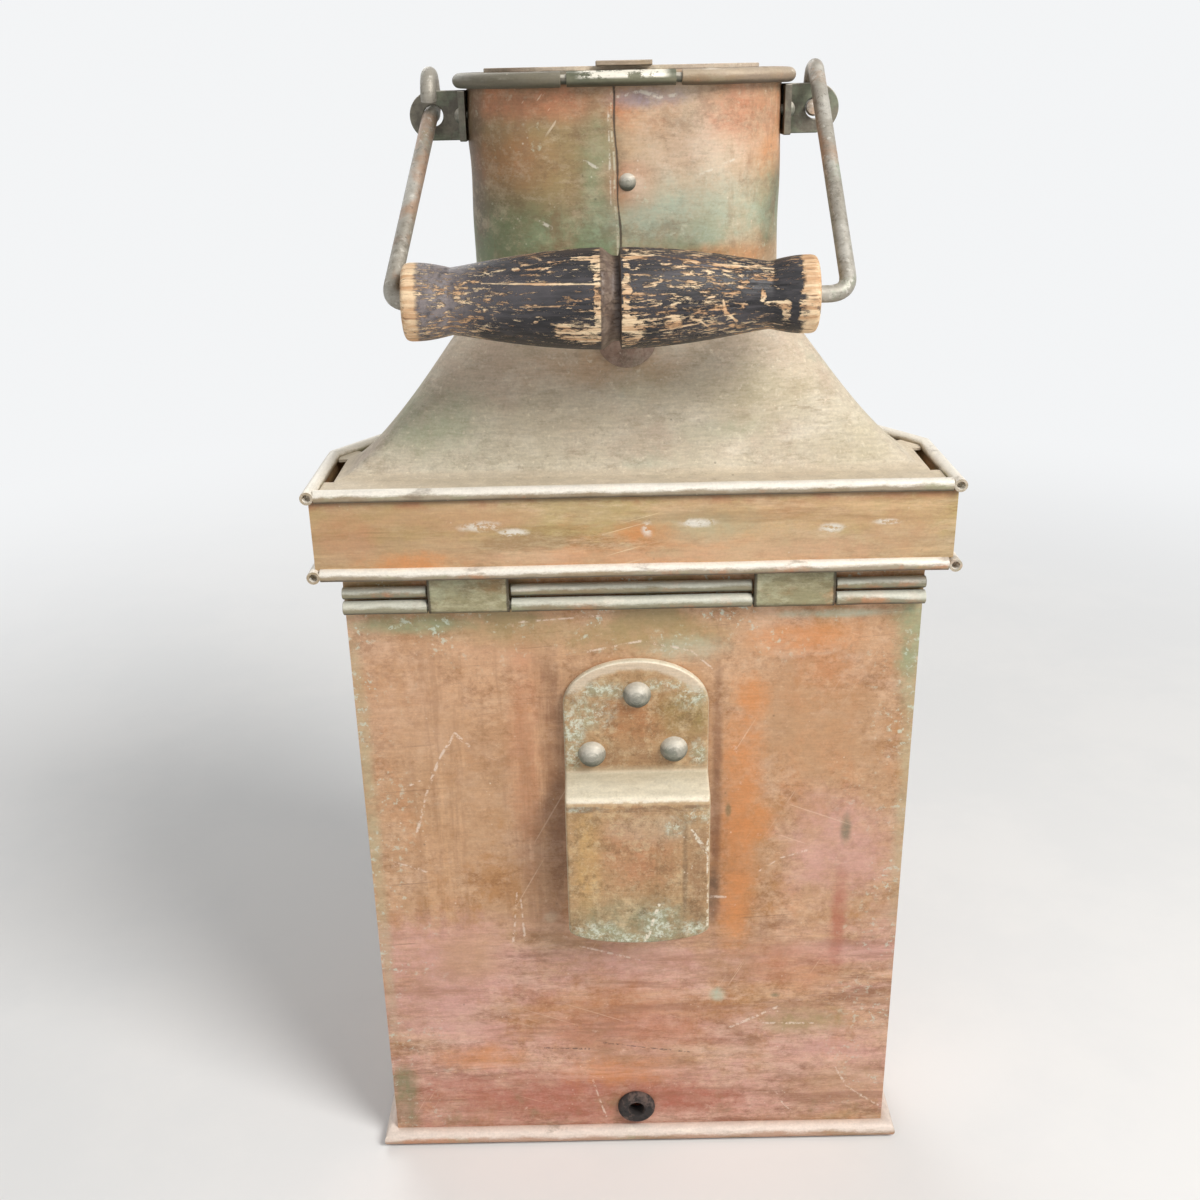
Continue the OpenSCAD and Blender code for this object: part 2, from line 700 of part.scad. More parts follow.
module gallery_top_bead() {
    section = arc(gallery_out, bead_top_z, gallery_bead_r, slit_a - 90, 270 - slit_a, 14);
    color("tan") seat() plan_bead(section);
}
// Flat roof plate on the neck, with slots along the sides and cheeks that let air into the gallery
module roof_plate() {
    edge = gallery_out - gallery_bead_r - 0.1;
    p = plan(0);
    color("tan") seat() difference() {
        ring(plan(edge), foot(-hood_t), roof_z - sheet, roof_z);
        for (side = [0, 1]) mirror([side, 0, 0]) {
            edge_slot([p[1][0], slot_start], [p[2][0], p[2][1] - slot_end], slot_in, edge + 3);
            edge_slot(mix(p[2], p[3], cheek_slot[0]), mix(p[2], p[3], cheek_slot[1]), slot_in, edge + 3);
        }
    }
}
// Where the hood's foot points meet the oblong: [foot from, foot to, oblong from, oblong to, steps]
hood_spans = [[0, 1, -0.2, 1.2, 8], [1, 1, 1.2, 1.4, 4], [1, 2, 1.4, 1.55, 3], [2, 2, 1.55, 1.62, 2],
              [2, 3, 1.62, 1.8, 4], [3, 3, 1.8, 1.9, 3], [3, 4, 1.9, 3.1, 6], [4, 4, 3.1, 3.2, 3],
              [4, 5, 3.2, 3.38, 4], [5, 5, 3.38, 3.45, 2], [5, 6, 3.45, 3.6, 3], [6, 6, 3.6, 3.8, 4]];
function hood_run(t) = t + hood_flare * t * (1 - t) * (1 - t);
function hood_ring(t, o) =
    let (f = foot(o))
    [for (h = hood_spans, i = [0:h[4] - 1])
        let (k = i / h[4], a = mix(f[h[0] % 6], f[h[1] % 6], k), b = oblong(mix(h[2], h[3], k), o))
        let (p = mix(a, b, hood_run(t)))
        [p[0], p[1], mix(roof_z, chimney_z, t)]];
hood_levels = [0, 0.08, 0.18, 0.3, 0.45, 0.62, 0.8, 1];
module roof_hood() {
    up = [for (i = [0:len(hood_levels) - 1]) hood_ring(hood_levels[i], 0)];
    down = [for (i = [len(hood_levels) - 1:-1:0]) hood_ring(hood_levels[i], -hood_t)];
    color("tan") seat() skin(concat(up, down), true);
}
// Copper patch on the hood's back, a disc cut straight where the slope meets the chimney
module roof_disc() {
    z = chimney_z - disc_drop;
    t = (z - roof_z) / hood_h;
    run = chimney_y - chimney_half - hood_back;
    slope = 1 + hood_flare * ((1 - t) * (1 - t) - 2 * t * (1 - t));
    tilt = atan2(run * slope, hood_h);
    color("peru") seat() translate([disc_x, hood_back + run * hood_run(t), z]) rotate([-tilt, 0, 0])
        intersection() {
            rod_y(disc_r, -disc_t - disc_gap, -disc_gap);
            translate([-disc_r, -2 * disc_t, -disc_r]) cube([2 * disc_r, 2 * disc_t, disc_r + disc_drop]);
        }
}
// Plate over the flame that spreads its heat, on a cross-strip between the neck's sides
module heat_baffle() {
    color("peru") seat() translate([0, 0, band_z + sheet]) {
        translate([sheet - case_w / 2, side_run - strip_back, 0]) cube([case_w - 2 * sheet, strip_w, sheet]);
        translate([0, font_y, 0]) cylinder(r = baffle_r, h = sheet);
    }
}
module lid_tab() {
    color("peru") seat() translate([-tab_w / 2, case_d, neck_z + 1]) difference() {
        cube([tab_w, tab_l, tab_t]);
        for (x = [0, tab_w]) translate([x, tab_l, 0]) rotate([0, 0, 45])
            cube([tab_cut, tab_cut, 4 * tab_t], center = true);
    }
}

// Chimney: oblong tube with a wired rim, interrupted at the back by the cap's knuckle
module chimney_shell() {
    color("peru") seat() difference() {
        ring(oblong_line(0), oblong_line(-sheet), chimney_z, rim_z + 0.6);
        translate([0, chimney_y - chimney_half, seam_rivet_z]) rod_y(seam_shank_r + rivet_slip, -5, 5);
        translate([0, lug_rivet_y, eye_z - eye_r]) rod_x(lug_shank_r + rivet_slip, -lug_x - 5, lug_x + 5);
    }
}
module seam_rivet() {
    color("slategray") seat() translate([0, chimney_y - chimney_half, seam_rivet_z])
        rivet(seam_rivet_d, small_rivet_h, seam_shank_r, sheet, small_tail_d);
}
module rim_bead() {
    section = arc(rim_r - rim_sink, rim_z, rim_r, -168, 168, 14);
    u0 = (knuckle_x1 + knuckle_gap + chimney_flat) / (2 * chimney_flat);
    u1 = (knuckle_x0 - knuckle_gap + chimney_flat) / (2 * chimney_flat);
    us = concat([u0], [for (i = [0:end_steps]) 1 + i * 0.99999 / end_steps],
                [for (i = [0:end_steps]) 3 + i * 0.99999 / end_steps], [u1]);
    color("tan") seat() skin([for (i = [len(us) - 1:-1:0])
        [for (s = section) let (p = oblong(us[i], s[0])) [p[0], p[1], s[1]]]], false);
}
module rim_wire() {
    color("darkkhaki") seat() translate([0, rim_y, rim_z])
        rod_x(pin_r, knuckle_x0 - knuckle_gap, knuckle_x1 + knuckle_gap);
}
// Lug: angle plate on the chimney's side, its outward leg drilled for the bail's eye
module lug(side) {
    hole_z = eye_z - eye_r;
    color("slategray") seat() mirror([side < 0 ? 1 : 0, 0, 0]) difference() {
        union() {
            translate([lug_x, chimney_y - lug_rear, lug_z]) cube([lug_t, lug_rear + lug_t / 2, lug_h]);
            translate([lug_x, chimney_y - lug_t / 2, lug_z]) cube([eye_x - lug_x, lug_t, lug_h]);
            translate([eye_x, chimney_y, hole_z]) rod_y(lug_h / 2, -lug_t / 2, lug_t / 2);
        }
        translate([eye_x, chimney_y, hole_z]) rod_y(hole_r, -lug_t, lug_t);
        translate([0, lug_rivet_y, hole_z]) rod_x(lug_shank_r + rivet_slip, lug_x - 1, lug_x + 5);
    }
}
module left_lug() { lug(-1); }
module right_lug() { lug(1); }
module lug_rivets() {
    grip = lug_t + sheet + lug_wall_bend;
    color("slategray") seat() for (side = [0, 1]) mirror([side, 0, 0])
        translate([lug_x + lug_t, lug_rivet_y, eye_z - eye_r]) rotate([0, 0, 90])
            rivet(lug_rivet_d, small_rivet_h, lug_shank_r, grip, small_tail_d);
}

// Chimney cap: knuckle on the rim wire, plate smaller than the opening, strap resting on the front rim
module cap_knuckle() {
    w = knuckle_x1 - knuckle_x0;
    leaf_t = 1.1;
    color("tan") seat() translate([knuckle_x0, rim_y, rim_z]) difference() {
        union() {
            rod_x(cap_knuckle_r, 0, w);
            translate([0, 0, cap_z - rim_z - leaf_t]) cube([w, 9, leaf_t]);
        }
        rod_x(pin_r + pin_gap, -1, w + 1);
    }
}
module cap_plate() {
    k = [cap_half_w / (chimney_flat + chimney_end), cap_half_d / chimney_half];
    line = [for (p = oblong_line(0)) [p[0] * k[0] - cap_shift, chimney_y + (p[1] - chimney_y) * k[1]]];
    color("peru") seat() translate([0, 0, cap_z]) linear_extrude(cap_t) polygon(line);
}
module cap_strap() {
    start = rim_y + strap_lead;
    front = chimney_y + chimney_half + 0.2;
    end = chimney_y + chimney_half + strap_reach;
    color("tan") seat() translate([-cap_strap_w / 2 - 0.5, 0, cap_z]) {
        translate([0, start, cap_t]) cube([cap_strap_w, end - start, cap_strap_t]);
        translate([0, front, 0]) cube([cap_strap_w, end - front, cap_t]);
    }
}

// Bail: one wire with an eye at each end, swept along its path
bail_sides = 12;
function eye_pt(x, a) = [x, chimney_y + eye_r * cos(a), eye_z + eye_r * sin(a)];
// A corner at b rounded over the distance t along each leg
function corner(a, b, c, t, n) =
    let (p = b + unit(a - b) * t, q = b + unit(c - b) * t)
    [for (i = [0:n]) let (s = i / n) (1 - s) * (1 - s) * p + 2 * s * (1 - s) * b + s * s * q];
bail_left = [-arms_half - bail_shift, grip_y, grip_z];
bail_right = [arms_half - bail_shift, grip_y, grip_z];
left_x = -eye_x - eye_side;
right_x = eye_x - eye_side;
left_root = [left_x - 0.1, chimney_y - root_back, eye_z - eye_r];
right_root = eye_pt(right_x, tangent_angle);
right_end = -112;
bail_path = concat(
    [for (a = [195:-15:-75]) eye_pt(left_x, a)],
    corner(eye_pt(left_x, 270), left_root, bail_left, root_bend, 4),
    corner(left_root, bail_left, bail_right, arm_bend, 6),
    corner(bail_left, bail_right, right_root, arm_bend, 6),
    [for (i = [0:17]) eye_pt(right_x, mix(tangent_angle, right_end, i / 17))]);
function heading(p, i) = unit(p[min(i + 1, len(p) - 1)] - p[max(i - 1, 0)]);
function carry(t, i, n) =
    i == len(t) ? [] : let (u = unit(n - (n * t[i]) * t[i])) concat([u], carry(t, i + 1, u));
module bail_wire() {
    t = [for (i = [0:len(bail_path) - 1]) heading(bail_path, i)];
    n = carry(t, 0, [1, 0, 0]);
    color("silver") seat() skin([for (i = [0:len(t) - 1])
        let (b = cross(t[i], n[i]))
        [for (k = [bail_sides - 1:-1:0])
            let (a = 360 * k / bail_sides)
            bail_path[i] + wire_r * (cos(a) * n[i] + sin(a) * b)]], false);
}
// Grip: turned wood, thick in the middle with a groove, waisted near the ends
end_l = 13;
lip_l = 3;
lip_drop = 1;
belly = 1.2;
groove_edge = 0.6;
flare_l = 5;
flare_r = 2.2;
function grip_radius(x) =
    let (u = abs(x), half = grip_l / 2, waist = half - end_l, t = u / waist)
    u < waist ? mix(waist_d, grip_d, pow(1 - t * t, belly)) / 2
              : mix(waist_d, grip_end_d, sin(90 * min(1, (u - waist) / (end_l - lip_l)))) / 2
                - lip_drop * max(0, u - half + 2) / 2;
module handle_grip() {
    bore = wire_r + grip_gap;
    half = grip_l / 2;
    g = groove_w / 2;
    xs = concat([-half], [for (i = [1:14]) mix(-half, -g - 0.5, i / 15)], [-g - 0.5, -g]);
    left = [for (x = xs) [x, grip_radius(x) - (x > -g - 0.2 ? groove_edge : 0)]];
    lip_r = grip_radius(0) - groove_edge;
    groove = [for (i = [1:9]) [-g * cos(18 * i), lip_r - (groove_depth - groove_edge) * sin(18 * i)]];
    profile = concat([[-half, bore]], left, groove,
                     [for (i = [len(left) - 1:-1:0]) [-left[i][0], left[i][1]]], [[half, bore]]);
    color("saddlebrown") seat() translate([grip_x, grip_y, grip_z]) difference() {
        rotate([0, 90, 0]) rotate([0, 0, 90]) rotate_extrude() polygon([for (p = profile) [p[1], p[0]]]);
        for (m = [0, 1]) mirror([m, 0, 0]) translate([half - flare_l, 0, 0]) rotate([0, 90, 0])
            cylinder(r1 = bore, r2 = bore + flare_r, h = flare_l + eps);
    }
}

case_shell();
base_plate();
base_bead();
hinge_tube();
hinge_pin();
lamp_iron_socket();
socket_rivets();
cable_grommet();
lens_ring();
bulls_eye_lens();
lens_clip();
left_light_ring();
left_light_glass();
right_light_ring();
right_light_glass();
reflector();
reflector_stem();
font_guide();
oil_font();
filler_neck();
filler_cap();
burner_collar();
burner_drum();
burner_cone();
wick_tube();
wick();
winder_spindle();
winder_knob();
lid_neck();
lid_flange_bead();
hinge_strap_left();
hinge_strap_right();
gallery_band();
gallery_bottom_bead();
gallery_top_bead();
roof_plate();
roof_hood();
roof_disc();
heat_baffle();
lid_tab();
chimney_shell();
seam_rivet();
rim_bead();
rim_wire();
left_lug();
right_lug();
lug_rivets();
cap_knuckle();
cap_plate();
cap_strap();
bail_wire();
handle_grip();
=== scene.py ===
"""Railway carriage lamp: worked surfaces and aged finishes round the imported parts."""

import math

import bpy
import numpy as np
from mathutils import Matrix, Vector


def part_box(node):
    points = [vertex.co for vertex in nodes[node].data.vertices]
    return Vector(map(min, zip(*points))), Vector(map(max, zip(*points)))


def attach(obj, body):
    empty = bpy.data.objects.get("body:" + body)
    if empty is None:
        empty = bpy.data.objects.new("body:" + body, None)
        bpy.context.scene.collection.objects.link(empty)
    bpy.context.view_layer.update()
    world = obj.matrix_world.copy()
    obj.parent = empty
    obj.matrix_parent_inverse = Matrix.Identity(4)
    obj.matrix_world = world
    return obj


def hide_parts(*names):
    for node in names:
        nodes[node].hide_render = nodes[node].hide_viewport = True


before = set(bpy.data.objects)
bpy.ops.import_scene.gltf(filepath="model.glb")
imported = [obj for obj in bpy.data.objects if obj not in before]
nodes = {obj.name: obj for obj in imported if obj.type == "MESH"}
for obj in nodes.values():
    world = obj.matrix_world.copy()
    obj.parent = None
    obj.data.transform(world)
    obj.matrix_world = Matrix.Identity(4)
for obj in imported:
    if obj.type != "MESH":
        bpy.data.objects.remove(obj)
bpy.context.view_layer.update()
MM = 0.001
SURROUND = (0.9, 0.91, 0.92, 1)
WORLD_LIGHT = 0.3
SOCKET_TOP = float(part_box("lamp_iron_socket")[1][2])

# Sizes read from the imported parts, in metres
CASE_LOW, CASE_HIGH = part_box("case_shell")
HALF_W = CASE_HIGH[0]
BACK = CASE_LOW[1]
FRONT = CASE_HIGH[1]
WALL_TOP = CASE_HIGH[2]
RIM_Z = (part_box("rim_wire")[0][2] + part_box("rim_wire")[1][2]) / 2
HOOD_LOW, HOOD_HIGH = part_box("roof_hood")
CHIMNEY_LOW, CHIMNEY_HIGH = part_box("chimney_shell")
CHIMNEY_Y = (CHIMNEY_LOW[1] + CHIMNEY_HIGH[1]) / 2
CHIMNEY_HALF_X = CHIMNEY_HIGH[0]
CHIMNEY_HALF_Y = (CHIMNEY_HIGH[1] - CHIMNEY_LOW[1]) / 2
GRIP_LOW, GRIP_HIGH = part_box("handle_grip")
GRIP_MID = (np.array(GRIP_LOW) + np.array(GRIP_HIGH)) / 2

# Sizes of the bay-shaped outline and of the pieces on it, as in the part
SIDE_RUN = 35 * MM
FRONT_HALF = 43 * MM
GALLERY_OUT = 6.5 * MM
BEAD_R = 2.0 * MM
HOOD_MARGIN = 2 * MM
HOOD_BACK = 12 * MM
HOOD_FLARE = 0.35
SHEET = 1 * MM
CHIMNEY_FLAT = 19.5 * MM
RIM_R = 2.15 * MM
EYE_R = 5.9 * MM
EYE_X = 59 * MM
HOLE_DROP = 9.9 * MM
WIRE_R = 2.4 * MM
BAIL_L = 80.7 * MM
BAIL_LEAN = math.radians(49.1)
ARM_LEFT = 68 * MM
ARM_RIGHT = 61.3 * MM

SPLAY = math.atan2(HALF_W - FRONT_HALF, FRONT - BACK - SIDE_RUN)
SIDE_K = math.tan(SPLAY / 2)
FRONT_K = math.tan((math.pi / 2 - SPLAY) / 2)


def bay(o, back):
    """Corners of the bay outline moved out by o: back edge at y = back, then sides, cheeks and front."""
    x = HALF_W + o
    y = BACK + SIDE_RUN + o * SIDE_K
    f = FRONT_HALF + o * FRONT_K
    return np.array([[-x, back], [x, back], [x, y], [f, FRONT + o], [-f, FRONT + o], [-x, y]])


def plan(o):
    """The bay outline moved out by o on every side."""
    return bay(o, BACK - o)


def foot(o):
    """The hood's foot moved out by o."""
    return bay(o - HOOD_MARGIN, BACK + HOOD_BACK - o)


def oblong(u, o):
    """Points on the chimney's oblong moved out by o: u runs 0-1 along the back, 1-2 round the right end,
    2-3 along the front and 3-4 round the left end, each end being half an ellipse."""
    w = np.mod(u, 4.0)
    o = np.broadcast_to(o, w.shape)
    a = CHIMNEY_HALF_X - CHIMNEY_FLAT + o
    b = CHIMNEY_HALF_Y + o
    right = math.pi * (w - 1.5)
    left = math.pi * (w - 3.5)
    x = np.select([w < 1, w < 2, w < 3],
                  [CHIMNEY_FLAT * (2 * w - 1), CHIMNEY_FLAT + a * np.cos(right), CHIMNEY_FLAT * (5 - 2 * w)],
                  -CHIMNEY_FLAT - a * np.cos(left))
    y = np.select([w < 1, w < 2, w < 3], [-b, b * np.sin(right), b], -b * np.sin(left))
    return np.stack([x, CHIMNEY_Y + y], -1)


def smooth(a, b, x):
    """0 below a, 1 above b and a smooth cubic between."""
    t = np.clip((x - a) / (b - a), 0, 1)
    return t * t * (3 - 2 * t)


def grid_faces(rows, cols, wrap_rows=False, wrap_cols=True):
    """Quads over a grid of rows by cols points, closed in either direction where asked."""
    i = np.arange(rows if wrap_rows else rows - 1)
    j = np.arange(cols if wrap_cols else cols - 1)
    i, j = np.meshgrid(i, j, indexing="ij")
    i2 = (i + 1) % rows
    j2 = (j + 1) % cols
    return np.stack([i * cols + j, i * cols + j2, i2 * cols + j2, i2 * cols + j], -1).reshape(-1, 4)


def signed_volume(points, faces):
    """Six times the volume inside the quads or triangles, negative when they face inwards."""
    total = 0.0
    for k in range(1, faces.shape[1] - 1):
        a, b, c = points[faces[:, 0]], points[faces[:, k]], points[faces[:, k + 1]]
        total += np.einsum("ij,ij->i", a, np.cross(b, c)).sum()
    return total


def piece(name, parts, material, body, stands_for=(), sharp=40):
    """Joins (points, quads, flat polygons) parts, each turned outwards, into one finished piece."""
    points, faces, base = [], [], 0
    for p, q, caps in parts:
        p = np.asarray(p, float).reshape(-1, 3)
        flip = signed_volume(p, q) + sum(signed_volume(p, np.array([c])) for c in caps) < 0
        for f in [q] + [np.array([c]) for c in caps]:
            faces += ((f[:, ::-1] if flip else f) + base).tolist()
        points.append(p)
        base += len(p)
    mesh = bpy.data.meshes.new(name)
    mesh.from_pydata(np.concatenate(points).tolist(), [], faces)
    mesh.validate()
    mesh.update()
    mesh.shade_smooth()
    mesh.set_sharp_from_angle(angle=math.radians(sharp))
    obj = bpy.data.objects.new(name, mesh)
    bpy.context.scene.collection.objects.link(obj)
    mesh.materials.append(material)
    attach(obj, body)
    if stands_for:
        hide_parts(*stands_for)
    return obj


def transport(path):
    """Unit tangents and a pair of unit normals carried along the path without twist."""
    t = np.gradient(path, axis=0)
    t /= np.linalg.norm(t, axis=1, keepdims=True)
    n = np.empty_like(t)
    start = np.array([1.0, 0, 0]) if abs(t[0][0]) < 0.9 else np.array([0, 0, 1.0])
    for i, v in enumerate(t):
        start = start - start.dot(v) * v
        start /= np.linalg.norm(start)
        n[i] = start
    return t, n, np.cross(t, n)


def tube(path, radius, sides=24, hollow=0.0):
    """A round tube along a path, its ends closed flat, or sunk as a rolled tube's open end by hollow."""
    t, n, b = transport(path)
    radius = np.broadcast_to(radius, len(path)).astype(float)
    a = np.linspace(0, 2 * math.pi, sides, endpoint=False)
    circle = np.cos(a)[None, :, None] * n[:, None] + np.sin(a)[None, :, None] * b[:, None]
    rings = path[:, None] + radius[:, None, None] * circle
    if hollow:
        first = [path[0] + t[0] * d + circle[0] * radius[0] * k for d, k in ((hollow, 0.55), (0, 0.62), (0, 0.9))]
        last = [path[-1] - t[-1] * d + circle[-1] * radius[-1] * k for d, k in ((0, 0.9), (0, 0.62), (hollow, 0.55))]
        rings[0] += t[0] * 0.1 * radius[0]
        rings[-1] -= t[-1] * 0.1 * radius[-1]
        rings = np.concatenate([first, rings, last])
    rows = len(rings)
    caps = [list(range(sides))[::-1], list(range((rows - 1) * sides, rows * sides))]
    return rings.reshape(-1, 3), grid_faces(rows, sides), caps


def wander(s, seed, size, waves=5):
    """A small smooth random swing along s in metres: a sum of a few sines."""
    rng = np.random.default_rng(seed)
    out = np.zeros_like(s)
    for k in range(waves):
        out += np.sin(s * rng.uniform(30, 260) + rng.uniform(0, 6.3)) * rng.uniform(0.4, 1)
    return out * size / waves


def bay_tube(o, z, r, corners, step=4 * MM, seed=1, hollow=2.5 * MM):
    """A tube on the bay outline through the named corners, its mitres cut by offsetting the outline."""
    a = np.linspace(0, 2 * math.pi, 20, endpoint=False)
    lines = [plan(o + r * c) for c in np.cos(a)]
    rows = []
    for i, j in zip(corners[:-1], corners[1:]):
        n = max(2, int(np.linalg.norm(plan(o)[j] - plan(o)[i]) / step))
        t = np.linspace(0, 1, n, endpoint=False)
        rows.append([[(1 - k) * line[i] + k * line[j] for line in lines] for k in t])
    rows.append([[line[corners[-1]] for line in lines]])
    xy = np.concatenate([np.array(r0) for r0 in rows])
    length = np.arange(len(xy)) * step
    swing = wander(length, seed, 0.12 * MM)
    zz = z + r * np.sin(a)[None] + swing[:, None]
    rings = np.dstack([xy, np.broadcast_to(zz, xy.shape[:2])])
    return rings, a


def close_rings(rings, hollow):
    """Quads and end caps for rings of points, each end sunk like an open tube."""
    mid0, mid1 = rings[0].mean(0), rings[-1].mean(0)
    in0 = (rings[1].mean(0) - mid0)
    in1 = (rings[-2].mean(0) - mid1)
    in0 *= hollow / np.linalg.norm(in0)
    in1 *= hollow / np.linalg.norm(in1)
    first = [mid0 + (rings[0] - mid0) * 0.5 + in0, mid0 + (rings[0] - mid0) * 0.62]
    last = [mid1 + (rings[-1] - mid1) * 0.62, mid1 + (rings[-1] - mid1) * 0.5 + in1]
    rings = np.concatenate([first, rings, last])
    rows, sides = rings.shape[:2]
    return rings.reshape(-1, 3), grid_faces(rows, sides), [list(range(sides)), list(range((rows - 1) * sides, rows * sides))]


class Finish:
    """Builds one procedural material on Object coordinates by laying one colour over another."""

    def __init__(self, name, base, roughness=0.55, metallic=0.0, ragged=60, along=(1, 1, 1)):
        self.material = bpy.data.materials.new(name)
        self.material.use_nodes = True
        self.tree = self.material.node_tree
        self.shader = self.tree.nodes["Principled BSDF"]
        self.shader.inputs["Roughness"].default_value = roughness
        self.shader.inputs["Metallic"].default_value = metallic
        self.texture = self.tree.nodes.new("ShaderNodeTexCoord")
        self.coords = self.texture.outputs["Object"]
        self.split = self.add("ShaderNodeSeparateXYZ", Vector=self.coords)
        self.facing = self.add("ShaderNodeSeparateXYZ", Vector=self.texture.outputs["Normal"])
        self.ragged = self.math("SUBTRACT", self.noise(ragged, 8, 0.8, along, (3, 5, 7)), 0.5)
        self.mottle = self.step(self.noise(ragged * 1.6, 8, 0.75, along, (9, 2, 4)), 0.36, 0.6, 0.5, 1.0)
        self.broken = self.step(self.noise(420, 5, 0.7), 0.45, 0.56)
        self.colour = srgb(*base)

    def add(self, kind, **inputs):
        node = self.tree.nodes.new(kind)
        for key, value in inputs.items():
            self.plug(node.inputs[key.replace("_", " ")], value)
        return node

    def plug(self, socket, value):
        if isinstance(value, bpy.types.NodeSocket):
            self.tree.links.new(value, socket)
        else:
            socket.default_value = value

    def axis(self, name):
        return self.split.outputs[name]

    def up(self):
        """1 where the surface faces up, -1 where it faces down."""
        return self.facing.outputs["Z"]

    def rear(self):
        """1 on surfaces that face backwards."""
        return self.step(self.facing.outputs["Y"], -0.35, -0.75, 0, 1)

    def mapped(self, stretch, place, turn=0.0):
        """Coordinates moved and stretched, or first turned about Y by an angle and then stretched."""
        node = self.add("ShaderNodeMapping", Vector=self.coords)
        if turn:
            node.vector_type = "TEXTURE"
            stretch = [1 / s for s in stretch]
        node.inputs["Scale"].default_value = stretch
        node.inputs["Location"].default_value = place
        node.inputs["Rotation"].default_value = (0, turn, 0)
        return node.outputs[0]

    def noise(self, scale, detail=5, rough=0.6, stretch=(1, 1, 1), place=(0, 0, 0), bend=0.0, turn=0.0):
        node = self.add("ShaderNodeTexNoise", Vector=self.mapped(stretch, place, turn))
        node.inputs["Scale"].default_value = scale
        node.inputs["Detail"].default_value = detail
        node.inputs["Roughness"].default_value = rough
        node.inputs["Distortion"].default_value = bend
        return node.outputs["Fac"]

    def cells(self, scale, stretch=(1, 1, 1), place=(0, 0, 0)):
        node = self.add("ShaderNodeTexVoronoi", Vector=self.mapped(stretch, place))
        node.inputs["Scale"].default_value = scale
        return node.outputs["Distance"]

    def step(self, value, low, high, to_low=0.0, to_high=1.0):
        """A smooth rise, or fall, from to_low at low to to_high at high."""
        if low > high:
            low, high, to_low, to_high = high, low, to_high, to_low
        node = self.add("ShaderNodeMapRange", Value=value)
        node.interpolation_type = "SMOOTHSTEP"
        for key, number in (("From Min", low), ("From Max", high), ("To Min", to_low), ("To Max", to_high)):
            node.inputs[key].default_value = number
        return node.outputs[0]

    def math(self, operation, *values):
        node = self.tree.nodes.new("ShaderNodeMath")
        node.operation = operation
        for socket, value in zip(node.inputs, values):
            self.plug(socket, value)
        return node.outputs[0]

    def total(self, *values):
        out = values[0]
        for value in values[1:]:
            out = self.math("ADD", out, value)
        return out

    def both(self, *values):
        out = values[0]
        for value in values[1:]:
            out = self.math("MULTIPLY", out, value)
        return out

    def either(self, *values):
        out = values[0]
        for value in values[1:]:
            out = self.math("MAXIMUM", out, value)
        return out

    def inside(self, axis, low, high, soft):
        """1 between low and high along an axis, fading over soft outside."""
        value = self.axis(axis)
        return self.both(self.step(value, low - soft, low), self.step(value, high + soft, high))

    def away(self, across, upright):
        """The length of a step with these two parts."""
        return self.math("SQRT", self.math("MULTIPLY_ADD", upright, upright, self.both(across, across)))

    def patch(self, x, z, reach_x, reach_z, soft=0.5, rough=1.7):
        """1 inside an ellipse seen from behind, its edge made ragged by noise; sizes in millimetres."""
        across = self.math("MULTIPLY_ADD", self.axis("X"), 1000 / reach_x, -x / reach_x)
        upright = self.math("MULTIPLY_ADD", self.axis("Z"), 1000 / reach_z, -z / reach_z)
        away = self.total(self.away(across, upright), self.both(self.ragged, rough))
        return self.step(away, 1 + soft, 1 - soft)

    def stroke(self, x0, z0, x1, z1, width, soft=0.35):
        """1 along a straight line seen from behind, from (x0, z0) to (x1, z1) in millimetres: a point's share
        along the line is held between 0 and 1, and its distance from the point at that share is compared."""
        dx, dz = x1 - x0, z1 - z0
        long = dx * dx + dz * dz
        x = self.math("MULTIPLY_ADD", self.axis("X"), 1000.0, -x0)
        z = self.math("MULTIPLY_ADD", self.axis("Z"), 1000.0, -z0)
        share = self.math("MULTIPLY_ADD", z, dz / long, self.both(x, dx / long))
        share.node.use_clamp = True
        away = self.away(self.math("MULTIPLY_ADD", share, -dx, x), self.math("MULTIPLY_ADD", share, -dz, z))
        return self.step(self.total(away, self.both(self.ragged, 1.6)), width / 2 + soft, width / 2 - 0.1)

    def mix(self, mask, under, over):
        node = self.tree.nodes.new("ShaderNodeMix")
        node.data_type = "RGBA"
        self.plug(node.inputs[0], mask)
        self.plug(node.inputs[6], under)
        self.plug(node.inputs[7], over)
        return node.outputs[2]

    def lay(self, colour, amount, *masks):
        """Lays a colour over what is there, where all the masks are."""
        mask = self.both(*masks, amount) if masks else amount
        self.colour = self.mix(mask, self.colour, srgb(*colour))

    def spread(self, colour, amount, scale, low, high, *masks, detail=6, rough=0.65, stretch=(1, 1, 1),
               place=(0, 0, 0), bend=0.0, turn=0.0):
        """Lays a colour where a noise runs from low to high, and all the masks are."""
        mask = self.step(self.noise(scale, detail, rough, stretch, place, bend, turn), low, high)
        self.lay(colour, amount, mask, *masks)

    def marks(self, patches, *masks, soft=0.6, rough=2.6, strength=0.9):
        """Lays each stain of a table over what is there, mottled; a few entries are painted shade, as noted in the
        tables.
        """
        for x, z, reach_x, reach_z, tone, amount in patches:
            spot = self.patch(x, z, reach_x, reach_z, soft, rough)
            self.lay(TONES[tone], amount * strength, spot, self.mottle, *masks)

    def mottling(self, dark, light, amount, scale=120, stretch=(1, 1, 1), *masks):
        """Fine dark and light blotches, also finer ones at three times the scale."""
        for tone, share, place in ((dark, 1.0, (11, 3, 1)), (light, 0.8, (5, 9, 1))):
            for finer, part in ((1, 1.0), (3, 0.6)):
                self.spread(tone, amount * share * part, scale * finer, 0.5, 0.62, *masks, detail=8, rough=0.8,
                            stretch=stretch, place=place)

